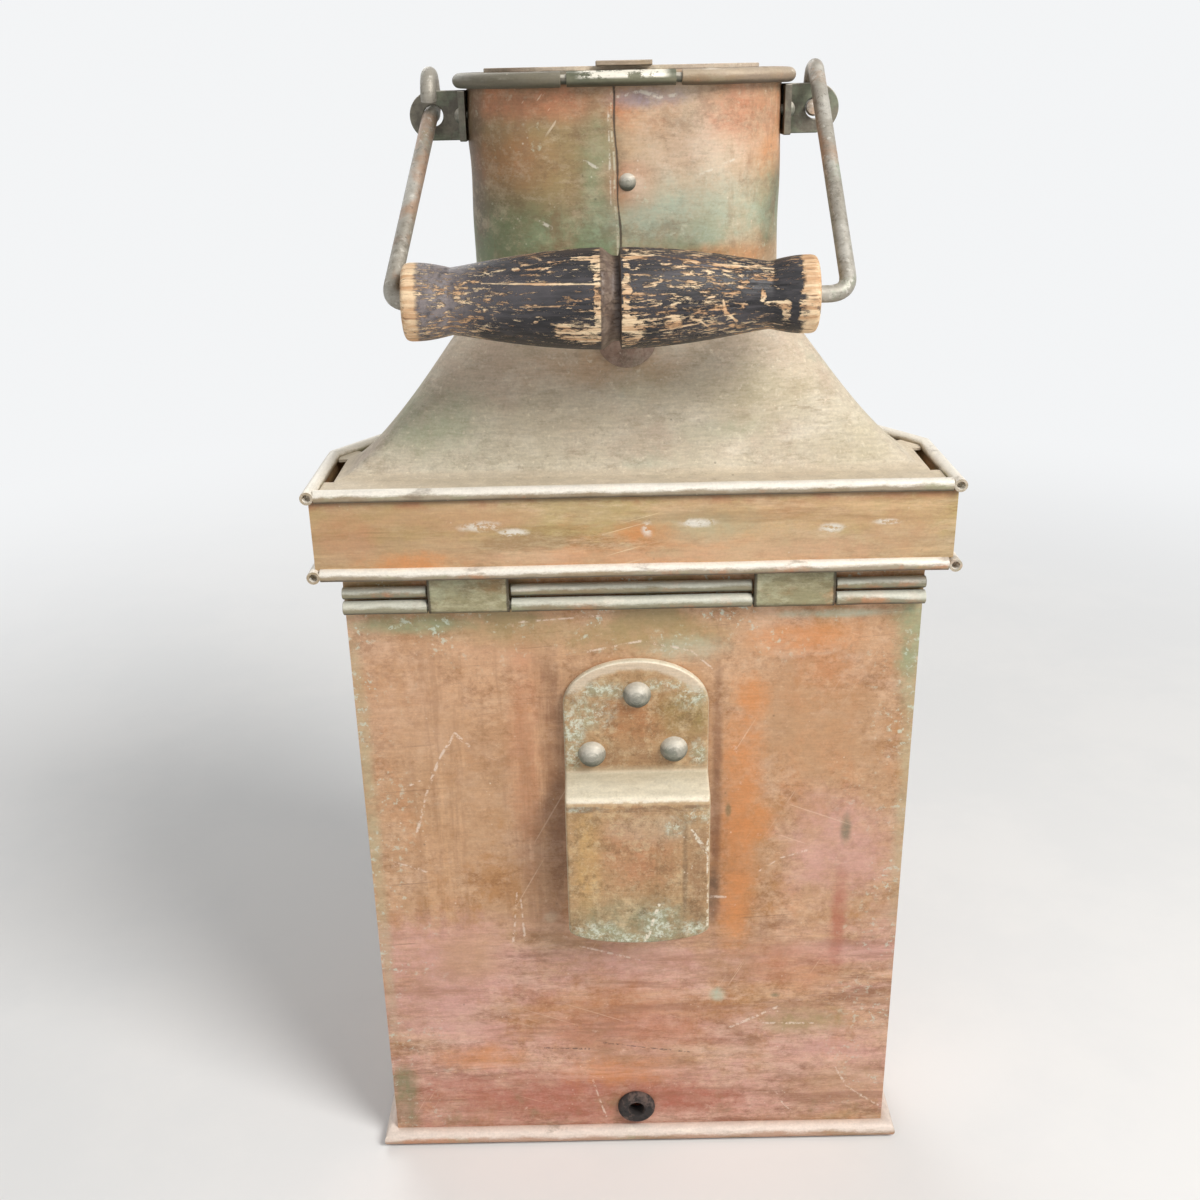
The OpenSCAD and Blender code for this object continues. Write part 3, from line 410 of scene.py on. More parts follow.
    def strokes(self, colour, amount, lines, *masks):
        """Lays a colour along every one of the lines, broken up by a fine noise."""
        mask = self.either(*[self.stroke(*line) for line in lines])
        self.lay(colour, amount, mask, self.broken, *masks)

    def shade(self, *factors):
        """Multiplies the colour by grey factors."""
        node = self.tree.nodes.new("ShaderNodeMix")
        node.data_type = "RGBA"
        node.blend_type = "MULTIPLY"
        node.inputs[0].default_value = 1.0
        self.plug(node.inputs[6], self.colour)
        self.plug(node.inputs[7], self.both(*factors))
        self.colour = node.outputs[2]

    def scratches(self, colour, amount, turn, place, *masks, low=0.7):
        """Short straight scratches, turned about Y, in a few places."""
        line = self.step(self.noise(1100, 1, 0.4, (1, 1, 0.018), place, turn=turn), low, low + 0.03)
        self.lay(colour, amount, line, self.step(self.noise(28, 3, place=place), 0.52, 0.62), *masks)

    def dirt(self, grain=0.05, dust=0.5, spots=0.6):
        """Fine grain, pale dust specks and small dark spots."""
        fine = self.step(self.noise(1300, 3, 0.7), 0.28, 0.72, 1 - grain, 1 + grain)
        hair = self.step(self.noise(1500, 3, 0.6, (0.12, 0.12, 1)), 0.3, 0.7, 1 - grain, 1 + grain)
        self.shade(fine, hair)
        specks = self.step(self.cells(520), 0.2, 0.08)
        self.spread((232, 222, 202), dust, 90, 0.56, 0.68, specks)
        small = self.step(self.cells(240, place=(0.3, 0.1, 0.7)), 0.13, 0.06)
        self.spread((66, 54, 42), spots, 45, 0.58, 0.7, small, place=(2, 1, 0))

    def finish(self, rough=None, height=None, depth=0.3):
        self.plug(self.shader.inputs["Base Color"], self.colour)
        if rough is not None:
            self.plug(self.shader.inputs["Roughness"], rough)
        if height is not None:
            bump = self.add("ShaderNodeBump", Height=height)
            bump.inputs["Distance"].default_value = depth * MM
            bump.inputs["Strength"].default_value = 1.0
            self.tree.links.new(bump.outputs[0], self.shader.inputs["Normal"])
        return self.material


def srgb(r, g, b):
    """A colour written as 8-bit sRGB, as linear RGBA."""
    c = np.array([r, g, b]) / 255
    c = np.where(c <= 0.04045, c / 12.92, ((c + 0.055) / 1.055) ** 2.4)
    return (float(c[0]), float(c[1]), float(c[2]), 1.0)


# Colours that old copper takes
TONES = {
    "tan": (186, 146, 108),
    "pale": (206, 162, 128),
    "ochre": (208, 138, 82),
    "rose": (207, 158, 147),
    "olive": (160, 140, 94),
    "umber": (128, 88, 62),
    "red": (170, 94, 72),
    "clay": (188, 122, 88),
    "moss": (82, 96, 66),
    "sage": (142, 158, 122),
    "verdigris": (176, 186, 164),
    "straw": (180, 168, 134),
    "sand": (200, 184, 158),
    "cream": (220, 200, 176),
    "slate": (160, 142, 144),
    "char": (90, 74, 58),
    "fern": (118, 126, 90),
    "rust": (168, 108, 64),
    "mustard": (194, 156, 98),
    "mossy": (140, 124, 70),
    "sedge": (132, 130, 100),
}

# Stains as (x, z, reach across, reach up, tone, amount) and lines as (x, z, x, z, width), in millimetres,
# seen from behind; a few stain entries stand for painted shade, as noted beside them
WALL_STAINS = [
    (-75.4, 183.2, 16, 21.5, "pale", 0.6), (-45.7, 198.4, 13.3, 5.2, "pale", 0.75),
    (5, 204.2, 24, 5.6, "olive", 0.85), (-30, 206, 20, 5, "olive", 0.7),
    (-54.9, 149.5, 23, 27, "tan", 0.6), (-35.9, 160.3, 5.2, 41, "clay", 0.45),
    # The umber stripe at x -26.6, left of the socket, is partly a dark-brown stain and partly the socket's painted
    # shadow.
    (-26.6, 150, 4, 46, "umber", 0.75), (52.3, 202.5, 16.4, 4.8, "ochre", 0.8),
    (58.4, 169.3, 20, 16, "tan", 0.85), (37.6, 181.7, 5.1, 6.5, "ochre", 0.9),
    (34.7, 139.7, 6.7, 39, "ochre", 0.9), (26.8, 147.6, 1.6, 46, "umber", 0.85),
    (68.2, 123.2, 17, 18, "rose", 0.8), (38.8, 134.9, 6, 6.2, "ochre", 0.75),
    (-69.9, 74, 22, 21, "rose", 0.9), (-59.6, 81, 10.5, 9, "tan", 0.7),
    (0.8, 79.4, 26, 6.4, "rose", 0.75), (-6.6, 53.3, 33, 15, "clay", 0.65),
    (71, 82, 26, 3.8, "rose", 0.8), (-70, 52, 20, 3, "rose", 0.7),
    (53.7, 76, 16, 9.5, "clay", 0.6), (-29.2, 19.4, 58, 11, "red", 0.8),
    (18.8, 16.3, 15, 6.2, "red", 0.85), (-57.7, 37.4, 18, 4.4, "ochre", 0.75),
    (-6.9, 30.6, 20, 5.4, "ochre", 0.75), (59.2, 51.7, 14, 5.6, "olive", 0.85),
    (71.3, 39.2, 15, 3.7, "rose", 0.75), (69.6, 94.7, 2.8, 17, "red", 0.75),
    (33.2, 97.7, 4.8, 12.5, "ochre", 0.85), (25.8, 108.1, 2.2, 10.6, "char", 0.8),
    (77.7, 21.4, 17, 8.5, "tan", 0.65), (-85.7, 20, 4.4, 13, "fern", 0.85),
]
WALL_GREENS = [
    (-71.9, 209, 15, 2.4, "sage", 0.8), (88, 199, 4.6, 17, "sage", 0.9),
    (89.6, 150, 3, 44, "straw", 0.75), (62, 210.5, 16, 1.3, "verdigris", 0.8),
    (18, 199, 12, 4, "verdigris", 0.55), (-88.5, 160, 2.6, 46, "straw", 0.7),
    (-88, 90, 2, 40, "straw", 0.5), (28.1, 64, 2.4, 2.6, "verdigris", 1.0),
    (70.5, 131.9, 1.5, 4.3, "moss", 0.75), (30.7, 139.8, 0.8, 2.3, "moss", 0.9),
    (48.8, 63.1, 1.6, 1.0, "moss", 0.8), (-30, 98, 2, 2, "sand", 0.5),
]
WALL_SCRATCHES = [
    (-73.6, 133.7, -72.3, 137.6, 0.42), (-72.3, 137.6, -69.6, 147.9, 0.48), (-69.6, 147.9, -64.0, 162.1, 0.6),
    (-64.0, 162.1, -58.6, 170.5, 0.66), (-58.6, 170.5, -54.3, 166.0, 0.66), (-75.6, 151.1, -71.2, 153.3, 0.36),
    (-81.9, 122.0, -71.4, 117.7, 0.36), (-41.1, 108.5, -43.4, 87.8, 0.48), (-39.9, 105.6, -39.2, 88.9, 0.36),
    (-16.8, 26.1, -14.5, 16.7, 0.36), (-14.5, 16.7, -12.0, 8.0, 0.36), (71.8, 30.0, 76.7, 20.5, 0.42),
    (76.7, 20.5, 88.6, 11.7, 0.42), (50.2, 19.8, 52.2, 15.0, 0.36), (52.2, 15.0, 56.8, 9.1, 0.36),
    (41.4, 115.1, 48.7, 120.5, 0.36), (48.7, 120.5, 58.1, 123.5, 0.36), (33.0, 49.2, 49.7, 57.7, 0.72),
    (44.9, 50.7, 62.9, 50.3, 0.48), (20.6, 105.8, 30.3, 105.2, 0.54), (-20.1, 85.9, 0.8, 79.4, 0.36),
    (-15.6, 198.8, 1.8, 202.2, 0.48), (1.8, 202.2, 17.6, 198.8, 0.48), (17.6, 198.8, 24.6, 192.3, 0.36),
    (-35.8, 209.6, -10.7, 211.1, 0.48),
]
WALL_DARKS = [(-33.9, 41.4, -18.0, 40.6, 0.5), (-14.0, 43.5, 3.0, 40.6, 0.4), (3.0, 40.6, 18.7, 38.2, 0.3)]


def copper_wall():
    """The case: orange-brown copper, rosy in its lower third, brushed, stained green and scratched, with a dark stripe
    left of the socket that is partly stain and partly the socket's painted shadow.
    """
    f = Finish("copper_wall", (188, 148, 112), metallic=0.12)
    f.spread((208, 164, 128), 0.7, 15, 0.44, 0.62, stretch=(1, 1, 0.7), bend=0.4)
    f.spread((178, 130, 90), 0.65, 22, 0.5, 0.66, place=(3, 1, 2), bend=0.4)
    f.spread((206, 136, 88), 0.5, 18, 0.54, 0.68, place=(8, 1, 2), stretch=(1.4, 1, 0.6))
    low = f.step(f.total(f.axis("Z"), f.both(f.ragged, 0.05)), 0.11, 0.075)
    f.spread((204, 155, 145), 0.75, 24, 0.4, 0.58, low, stretch=(0.5, 0.5, 1.8), place=(1, 2, 3))
    rear = f.rear()
    f.spread((172, 118, 62), 0.6, 38, 0.5, 0.62, place=(2, 8, 3), stretch=(1, 1, 0.6), detail=8, rough=0.75)
    f.spread((208, 174, 148), 0.5, 44, 0.5, 0.62, place=(6, 8, 3), stretch=(0.7, 0.7, 1), detail=8, rough=0.75)
    f.mottling((128, 82, 42), (222, 186, 154), 0.46, 130, (0.8, 0.8, 1))
    f.mottling((128, 82, 54), (226, 190, 170), 0.56, 120, (0.25, 0.25, 1), low)
    f.marks(WALL_STAINS, rear)
    upright = f.both(f.inside("X", -0.07, -0.024, 0.01), f.inside("Z", 0.105, 0.19, 0.02), rear)
    f.spread((160, 118, 84), 0.4, 200, 0.5, 0.64, upright, stretch=(1, 1, 0.07), detail=4)
    f.spread((218, 174, 134), 0.4, 160, 0.52, 0.66, upright, stretch=(1, 1, 0.08), place=(0.4, 0, 0), detail=4)
    f.spread((226, 178, 158), 0.35, 170, 0.55, 0.66, low, stretch=(0.07, 0.07, 1), detail=5)
    f.spread((150, 104, 80), 0.5, 150, 0.54, 0.66, low, stretch=(0.09, 0.09, 1), place=(0, 0, 0.3), detail=6)
    f.spread((160, 118, 88), 0.5, 46, 0.5, 0.66, low, stretch=(0.4, 0.4, 1), place=(7, 0, 0.3), detail=8, rough=0.75)
    f.spread((150, 134, 92), 0.75, 46, 0.42, 0.6, f.step(f.axis("Z"), WALL_TOP - 0.015, WALL_TOP - 0.005))
    f.spread((132, 122, 84), 0.5, 40, 0.5, 0.64, f.step(f.axis("Z"), 0.03, 0.012), place=(4, 4, 0))
    f.marks(WALL_GREENS, rear, soft=0.7)
    f.spread((200, 208, 190), 0.85, 420, 0.54, 0.62, f.step(f.noise(60, 7, 0.75, place=(1, 4, 2)), 0.46, 0.58),
             f.either(f.step(f.axis("Z"), WALL_TOP - 0.03, WALL_TOP - 0.004),
                      f.both(f.step(f.math("ABSOLUTE", f.axis("X")), HALF_W - 0.03, HALF_W - 0.002), 0.8)))
    f.spread((224, 196, 176), 0.45, 300, 0.62, 0.7, f.step(f.noise(30, 4, 0.7, place=(7, 4, 2)), 0.5, 0.62))
    f.strokes((228, 208, 190), 0.7, WALL_SCRATCHES, rear)
    f.strokes((84, 68, 60), 0.75, WALL_DARKS, rear)
    f.scratches((226, 196, 170), 0.35, 0.5, (1, 0, 2), low=0.725)
    f.scratches((226, 196, 170), 0.35, -1.2, (4, 0, 1), low=0.725)
    f.scratches((128, 92, 66), 0.4, 1.5, (2, 0, 5))
    f.dirt()
    height = f.total(f.noise(9, 3), f.both(f.ragged, 0.03), f.both(f.noise(700, 4, 0.7), 0.02))
    return f.finish(f.step(f.ragged, -0.2, 0.2, 0.45, 0.62), height, 0.8)


BAND_STAINS = [
    (-85.1, 240.3, 9, 7, "clay", 0.35), (-48.8, 245.8, 21, 3.8, "tan", 0.7),
    (-10.3, 232.2, 36, 3.2, "pale", 0.6), (19.8, 242.7, 18, 4.4, "straw", 0.75),
    (79.8, 239.9, 13.5, 7.6, "tan", 0.75), (82.2, 227, 15, 2.0, "sand", 0.6),
    (1.9, 240.9, 9, 3.2, "ochre", 0.7), (56.2, 232.4, 18, 4.5, "pale", 0.6),
    (-66, 232, 14, 4, "ochre", 0.7),
]
BAND_SCUFFS = [(-46, 243.5, 5, 1.4), (-36, 241.5, 4, 1.0), (4, 242, 1.6, 2.4), (19, 243.4, 4.5, 1.2),
               (60, 241, 3, 1.2), (76, 242.6, 3.6, 0.8)]


def gallery_finish():
    """The gallery band: olive-brown above, orange-pink below, wiped lengthwise, with a few pale rubs, and dark lines
    along its edges beside the beads that are crevice dirt and painted shade.
    """
    f = Finish("gallery_copper", (182, 158, 121), metallic=0.12)
    high = f.step(f.total(f.axis("Z"), f.both(f.ragged, 0.02)), 0.2375, 0.243)
    f.spread((180, 158, 104), 0.8, 24, 0.38, 0.56, high, stretch=(0.4, 0.4, 1))
    f.spread((204, 138, 88), 0.6, 26, 0.54, 0.66, place=(3, 1, 2), stretch=(0.6, 0.6, 1.4))
    f.mottling((132, 92, 46), (220, 196, 164), 0.5, 120, (0.25, 0.25, 1))
    f.spread((212, 170, 134), 0.45, 30, 0.5, 0.62, place=(5, 1, 2), stretch=(0.5, 0.5, 1.4))
    f.lay((172, 138, 98), 0.55, f.step(f.total(f.axis("X"), f.both(f.ragged, 0.04)), -0.02, -0.075))
    rear = f.rear()
    f.marks(BAND_STAINS, rear, strength=1.1)
    f.spread((150, 118, 76), 0.4, 130, 0.54, 0.66, stretch=(0.06, 0.06, 1), detail=5)
    f.spread((226, 190, 146), 0.4, 150, 0.56, 0.68, stretch=(0.05, 0.05, 1), place=(0.2, 0, 0), detail=5)
    f.spread((170, 96, 66), 0.55, 50, 0.46, 0.6, f.step(f.axis("Z"), 0.2485, 0.2515))
    # Dark lines along the band's top and bottom edges beside the beads: crevice dirt and painted shade.
    f.lay((104, 82, 56), 0.6, f.either(f.step(f.axis("Z"), 0.2503, 0.2518), f.step(f.axis("Z"), 0.2245, 0.2232)))
    rubs = f.either(*[f.patch(*scuff, soft=0.6, rough=2.4) for scuff in BAND_SCUFFS])
    f.spread((222, 216, 204), 0.85, 420, 0.42, 0.52, rubs, rear, stretch=(0.7, 1, 1.3))
    f.scratches((224, 204, 170), 0.5, 1.3, (3, 0, 2))
    f.scratches((120, 92, 60), 0.4, 1.6, (5, 0, 4))
    f.dirt()
    height = f.total(f.noise(12, 3), f.both(f.noise(700, 4, 0.7), 0.03))
    return f.finish(f.step(f.ragged, -0.2, 0.2, 0.45, 0.6), height, 0.6)


def bead_finish(name, side, top, under, dust=0.9, left=None):
    """Rolled edges: pale on top where dust lies and hands rub, this pale also a painted highlight, dark beneath as
    painted shade, green in patches, streaked lengthwise.
    """
    f = Finish(name, side, metallic=0.12, ragged=160, along=(0.35, 0.35, 1))
    f.spread((150, 126, 92), 0.6, 70, 0.48, 0.62, stretch=(0.5, 0.5, 1))
    f.spread((196, 132, 92), 0.6, 60, 0.54, 0.66, place=(2, 2, 2))
    f.spread((156, 160, 124), 0.5, 50, 0.54, 0.66, place=(6, 2, 2))
    # Pale top: dust and rubbing, and a painted highlight.
    dust_and_highlight = f.step(f.total(f.up(), f.both(f.ragged, 2.2)), -0.1, 0.5)
    f.lay(top, dust, dust_and_highlight)
    # Pale streaks along the upper side: rubbing, and a painted highlight.
    f.spread((240, 230, 212), 0.6, 190, 0.55, 0.66, f.step(f.up(), -0.2, 0.3), stretch=(0.2, 0.2, 1))
    f.spread((120, 100, 78), 0.5, 210, 0.58, 0.68, stretch=(0.25, 0.25, 1), place=(5, 1, 1))
    # Dark underside: painted shade.
    f.lay(under, 0.75, f.step(f.total(f.up(), f.both(f.ragged, 0.8)), -0.3, -0.8))
    if left:
        f.lay(left, 0.75, f.step(f.total(f.axis("X"), f.both(f.ragged, 0.04)), 0.0, -0.022))
    f.dirt(0.06, 0.4, 0.7)
    return f.finish(0.6, f.total(f.ragged, f.both(f.noise(800, 4, 0.7), 0.4)), 0.12)


def strap_finish():
    """Hinge straps: olive over brown, pale where they turn over the tube as dust and a painted highlight, dark on their
    downward faces and at their ends beside the rolls as painted shade.
    """
    f = Finish("strap_copper", (148, 140, 106), metallic=0.12, ragged=130, along=(0.5, 0.5, 1))
    f.spread((142, 106, 66), 0.75, 60, 0.47, 0.6, stretch=(0.5, 0.5, 1))
    f.spread((172, 172, 142), 0.6, 80, 0.5, 0.64, place=(3, 0, 0))
    f.spread((196, 128, 82), 0.4, 60, 0.56, 0.66, place=(6, 0, 0))
    f.mottling((104, 90, 60), (204, 196, 166), 0.45, 150, (0.4, 0.4, 1))
    # Pale on upward faces: dust, and a painted highlight.
    f.lay((206, 200, 178), 0.7, f.step(f.total(f.up(), f.both(f.ragged, 0.8)), 0.15, 0.7))
    # Dark on downward faces: painted shade.
    f.lay((74, 66, 46), 0.7, f.step(f.total(f.up(), f.both(f.ragged, 0.5)), -0.25, -0.7))
    # Dark lines at the strap ends, in the gaps beside the hinge rolls: painted shade.
    x = f.total(f.axis("X"), f.both(f.ragged, 0.0015))
    for end in (-63.5, -38.5, 36.9, 61.9):
        off = f.math("ABSOLUTE", f.math("SUBTRACT", x, end * MM))
        f.lay((62, 52, 38), 0.85, f.step(off, 1.1 * MM, 0.5 * MM))
    f.dirt(0.06, 0.5, 0.8)
    return f.finish(0.6, f.total(f.ragged, f.both(f.noise(700, 4, 0.7), 0.3)), 0.15)


ROOF_STAINS = [
    (-60.7, 267.2, 13, 9.3, "sage", 0.65), (2.6, 279.6, 8, 5.4, "straw", 0.45),
    (38.3, 277.3, 18, 9.1, "straw", 0.55), (-9.2, 285.9, 20, 5, "tan", 0.7),
    (-21.5, 269.4, 18, 6.2, "sand", 0.5), (69.1, 259.8, 12, 6.3, "straw", 0.5),
    (28, 266, 10, 3, "sage", 0.4),
]


def dusty_roof():
    """The hood: copper under beige dust, mottled green and pink-brown, darker and pinker towards the chimney, partly
    pink-brown tone and partly painted shade of the grip and chimney.
    """
    f = Finish("dusty_roof", (212, 200, 180), roughness=0.8)
    f.spread((198, 188, 164), 0.7, 20, 0.42, 0.6)
    z = f.total(f.axis("Z"), f.both(f.ragged, 0.03))
    # Darker, pinker upper zone: partly pink-brown tone, partly painted shade of the grip and chimney.
    f.lay((200, 180, 158), 0.75, f.step(z, 0.266, 0.296))
    f.spread((192, 170, 150), 0.55, 34, 0.46, 0.62, place=(4, 0, 1))
    f.spread((176, 178, 156), 0.5, 40, 0.54, 0.68, place=(1, 6, 2))
    f.mottling((150, 134, 110), (232, 224, 206), 0.4, 150, (0.5, 0.5, 1))
    f.marks(ROOF_STAINS, soft=0.9)
    f.lay((202, 187, 163), 0.75, f.step(f.axis("Z"), 0.2562, 0.2546))
    f.spread((160, 144, 122), 0.35, 420, 0.56, 0.66, f.step(f.noise(60, 4), 0.45, 0.6))
    f.spread((228, 218, 196), 0.5, 520, 0.58, 0.68, place=(1, 0, 0))
    f.scratches((150, 130, 104), 0.35, 1.5, (6, 0, 4))
    f.dirt(0.07, 0.5, 0.8)
    height = f.total(f.noise(14, 3), f.both(f.noise(900, 4, 0.7), 0.05))
    return f.finish(None, height, 0.6)


CHIMNEY_STAINS = [
    (-26.8, 345.4, 20, 14, "olive", 0.75), (-23.3, 360.5, 21, 4.5, "clay", 0.85),
    (-34.4, 325.3, 10.5, 7.5, "fern", 0.9), (-18.7, 323.2, 12, 4, "sage", 0.65),
    # The char stripe at x -46, on the tube's left end, is painted shade.
    (-46, 343, 3.2, 25, "char", 0.85), (-8.7, 338, 4.6, 20, "sage", 0.7),
    (-34, 345, 10, 7, "rust", 0.7), (42, 346, 8, 10, "ochre", 0.75), (20, 347, 10, 5, "clay", 0.45),
    (21.1, 347.2, 18, 17, "cream", 0.85), (34, 357.2, 10, 7, "clay", 0.9),
    (45, 330, 6.5, 11, "fern", 0.95), (19, 328, 23, 9.5, "verdigris", 0.9),
    (28, 317.1, 13, 2.8, "ochre", 0.8), (6.6, 330.7, 8, 6.2, "verdigris", 0.75),
    (0.5, 337.6, 6.6, 5.3, "clay", 0.8), (2.6, 337.4, 3.9, 3.6, "cream", 0.8),
    (6.1, 361.5, 9.5, 2.4, "slate", 0.9),
]
CHIMNEY_LINES = [(-2.7, 362.0, 3.9, 363.4, 0.59), (3.9, 363.4, 9.6, 361.7, 0.65), (9.6, 361.7, 14.1, 362.2, 0.52),
                 (-12.8, 345.1, -8.8, 342.8, 0.39), (-26.0, 328.0, -22.8, 326.2, 0.39),
                 (-5.3, 358.6, -4.9, 332.4, 0.2), (21.2, 340.3, 31.3, 344.2, 0.26)]


def chimney_finish():
    """The chimney: olive-brown at the left of its seam, pinkish at the right, with orange and verdigris; painted shade
    darkens its far left end and the seam's gap, and a painted highlight runs along the seam's left side.
    """
    f = Finish("chimney_copper", (180, 148, 114), metallic=0.12)
    f.spread((204, 170, 134), 0.7, 26, 0.44, 0.6, bend=0.4)
    f.spread((160, 122, 86), 0.6, 30, 0.52, 0.66, place=(2, 5, 1))
    f.lay((134, 110, 80), 0.75, f.step(f.total(f.axis("X"), f.both(f.ragged, 0.02)), 0.002, -0.006))
    # Darker far left end, where the tube turns away from the light: painted shade.
    f.lay((110, 92, 68), 0.7, f.step(f.total(f.axis("X"), f.both(f.ragged, 0.02)), -0.030, -0.044))
    f.spread((202, 126, 80), 0.7, 36, 0.48, 0.62, f.step(f.axis("Z"), 0.348, 0.36))
    f.spread((120, 136, 100), 0.85, 34, 0.42, 0.58, f.step(f.axis("Z"), 0.340, 0.320), place=(1, 1, 7))
    rear = f.rear()
    f.marks(CHIMNEY_STAINS, f.step(f.facing.outputs["Y"], 0.1, -0.2), soft=0.8, strength=1.05)
    f.mottling((106, 80, 54), (214, 194, 164), 0.36, 100, (0.6, 0.6, 1))
    f.spread((206, 208, 182), 0.5, 260, 0.6, 0.68, f.step(f.noise(40, 4, place=(3, 1, 0)), 0.48, 0.6))
    f.spread((142, 104, 74), 0.35, 110, 0.56, 0.68, stretch=(1, 1, 0.4), place=(3, 0, 0))
    f.strokes((222, 214, 198), 0.7, CHIMNEY_LINES, rear)
    near_seam = f.tree.nodes.new("ShaderNodeAttribute")
    near_seam.attribute_name = "seam"
    gap = f.math("ABSOLUTE", near_seam.outputs["Fac"])
    # Dark line in the seam's gap: painted shade.
    f.lay((74, 62, 50), 0.9, f.step(f.total(gap, f.both(f.ragged, 1.2)), 0.5, 0.15), rear)
    # Pale line along the lapped edge left of the seam: painted highlight.
    f.lay((206, 198, 172), 0.7, f.step(f.math("ABSOLUTE", f.total(near_seam.outputs["Fac"], 0.95)), 0.5, 0.2),
          rear, f.broken)
    f.scratches((224, 206, 180), 0.5, 0.7, (1, 0, 4))
    f.dirt()
    height = f.total(f.noise(18, 3), f.both(f.noise(700, 4, 0.7), 0.03))
    return f.finish(f.step(f.ragged, -0.2, 0.2, 0.46, 0.62), height, 0.7)


SOCKET_STAINS = [
    (0.5, 176.5, 12, 8, "rust", 0.75), (16, 178, 9, 7, "mossy", 0.75), (-4, 162, 16, 5, "umber", 0.5),
    (-16.5, 129, 4.2, 18, "mustard", 0.85), (0, 133, 12, 13, "clay", 0.55), (-1, 104, 21, 10, "sedge", 0.95),
    (19.5, 124, 3.4, 20, "umber", 0.6), (5.6, 142, 12, 5, "sand", 0.5), (15.5, 124, 0.8, 22, "char", 0.55),
]
SOCKET_CRUSTS = [
    (-11.4, 186.5, 9, 2.6), (-15.5, 178, 6, 5), (-20.5, 170, 3.4, 11), (18, 184.5, 5, 4), (9, 188, 7, 1.8),
    (-20.7, 160, 2.6, 4), (20.5, 163, 2.4, 4), (11.5, 142.5, 2.8, 2.8), (19.5, 147, 4, 3), (-18, 149.6, 6, 0.9),
    (-14, 102, 8, 3.6), (7, 104.5, 5.5, 7), (18, 103, 4, 3), (-2, 99, 12, 2),
]
SOCKET_LINES = [(-21.5, 152.0, 22.7, 151.8, 0.4), (6.9, 112.4, 2.5, 98.5, 0.9), (18.3, 139.3, 22.3, 132.7, 0.5),
                (17.6, 141.2, 21.6, 135.0, 0.4), (22.6, 148, 23.1, 104, 0.3)]


def socket_finish():
    """The socket: thick brown plate, green-white crust near its rims, pale dust on its step and arched edge, and
    painted shade where the plate bends into the step and in the crease below it.
    """
    f = Finish("socket_copper", (176, 140, 100), metallic=0.1, ragged=110)
    f.spread((192, 156, 114), 0.7, 46, 0.44, 0.6, bend=0.4)
    f.spread((148, 114, 74), 0.6, 60, 0.52, 0.64, place=(2, 0, 1))
    f.marks(SOCKET_STAINS, soft=0.6, rough=2.0)
    f.spread((146, 112, 76), 0.4, 180, 0.54, 0.66, f.step(f.axis("Z"), 0.15, 0.147), stretch=(1, 1, 0.1))
    f.mottling((108, 80, 48), (216, 194, 156), 0.5, 160)
    crust = f.either(*[f.patch(*spot, soft=0.7, rough=2.4) for spot in SOCKET_CRUSTS])
    f.spread((158, 160, 130), 0.6, 160, 0.42, 0.56, crust, detail=8, rough=0.75)
    f.spread((212, 216, 198), 0.85, 640, 0.46, 0.6, crust, place=(2, 3, 4), detail=8, rough=0.8)
    high = f.math("MAXIMUM", f.math("MULTIPLY_ADD", f.axis("Z"), 1 / 0.0155, (0.0155 - SOCKET_TOP) / 0.0155), 0.0)
    arch = f.step(f.total(f.away(f.both(f.axis("X"), 1 / 0.0234), high), f.both(f.ragged, 0.25)), 0.76, 0.86)
    f.lay((210, 192, 168), 0.85, arch, f.step(f.axis("Z"), SOCKET_TOP - 0.013, SOCKET_TOP - 0.008))
    f.lay((202, 182, 152), 0.75, f.step(f.axis("Z"), 0.1595, 0.1545), f.step(f.axis("Z"), 0.1500, 0.1525))
    f.lay((236, 226, 204), 0.9, f.step(f.total(f.up(), f.both(f.ragged, 0.3)), 0.3, 0.6))
    f.spread((196, 180, 152), 0.5, 420, 0.54, 0.64, f.step(f.up(), 0.4, 0.7))
    # Brownish gradient at the top of the step: the plate's brown blending into the step, and painted shade of the bend.
    f.lay((178, 158, 128), 0.8, f.step(f.total(f.axis("Z"), f.both(f.ragged, 0.002)), 0.1543, 0.1566),
          f.step(f.axis("Z"), 0.1600, 0.1572))
    # Dark line in the crease below the step: painted shade.
    f.spread((120, 92, 70), 0.6, 300, 0.42, 0.56, f.inside("Z", 0.1485, 0.1502, 0.0006), stretch=(0.3, 1, 1))
    f.strokes((228, 218, 198), 0.9, SOCKET_LINES)
    f.lay((196, 190, 166), 0.5, f.step(f.facing.outputs["Y"], -0.85, -0.5), f.step(f.facing.outputs["Y"], 0.2, -0.1))
    f.dirt(0.07, 0.5, 0.8)
    height = f.total(f.both(f.noise(60, 4), 0.8), f.both(crust, f.noise(500, 4, 0.7), 0.5),
                     f.both(f.noise(900, 4, 0.7), 0.12))
    return f.finish(0.6, height, 0.3)


def knuckle_finish():
    """The cap's knuckle: dark green-brown, darker beneath as painted shade, flaked white along its middle where it is
    rubbed.
    """
    f = Finish("knuckle_copper", (114, 112, 90), metallic=0.12, ragged=200, along=(0.4, 0.4, 1))
    f.spread((84, 88, 70), 0.7, 80, 0.46, 0.6, stretch=(0.5, 0.5, 1))
    f.spread((152, 142, 116), 0.5, 90, 0.52, 0.64, place=(3, 0, 0), stretch=(0.5, 0.5, 1))
    # Dark underside: painted shade.
    f.lay((60, 56, 44), 0.7, f.step(f.up(), -0.2, -0.7))
    rub = f.both(f.inside("X", -0.012, 0.010, 0.003), f.step(f.up(), -0.1, 0.3))
    f.spread((238, 232, 216), 0.95, 420, 0.42, 0.5, rub, rough=0.75, stretch=(0.5, 0.5, 1))
    f.dirt(0.06, 0.4, 0.8)
    return f.finish(0.5, f.total(f.ragged, f.both(f.noise(700, 4, 0.7), 0.3)), 0.12)


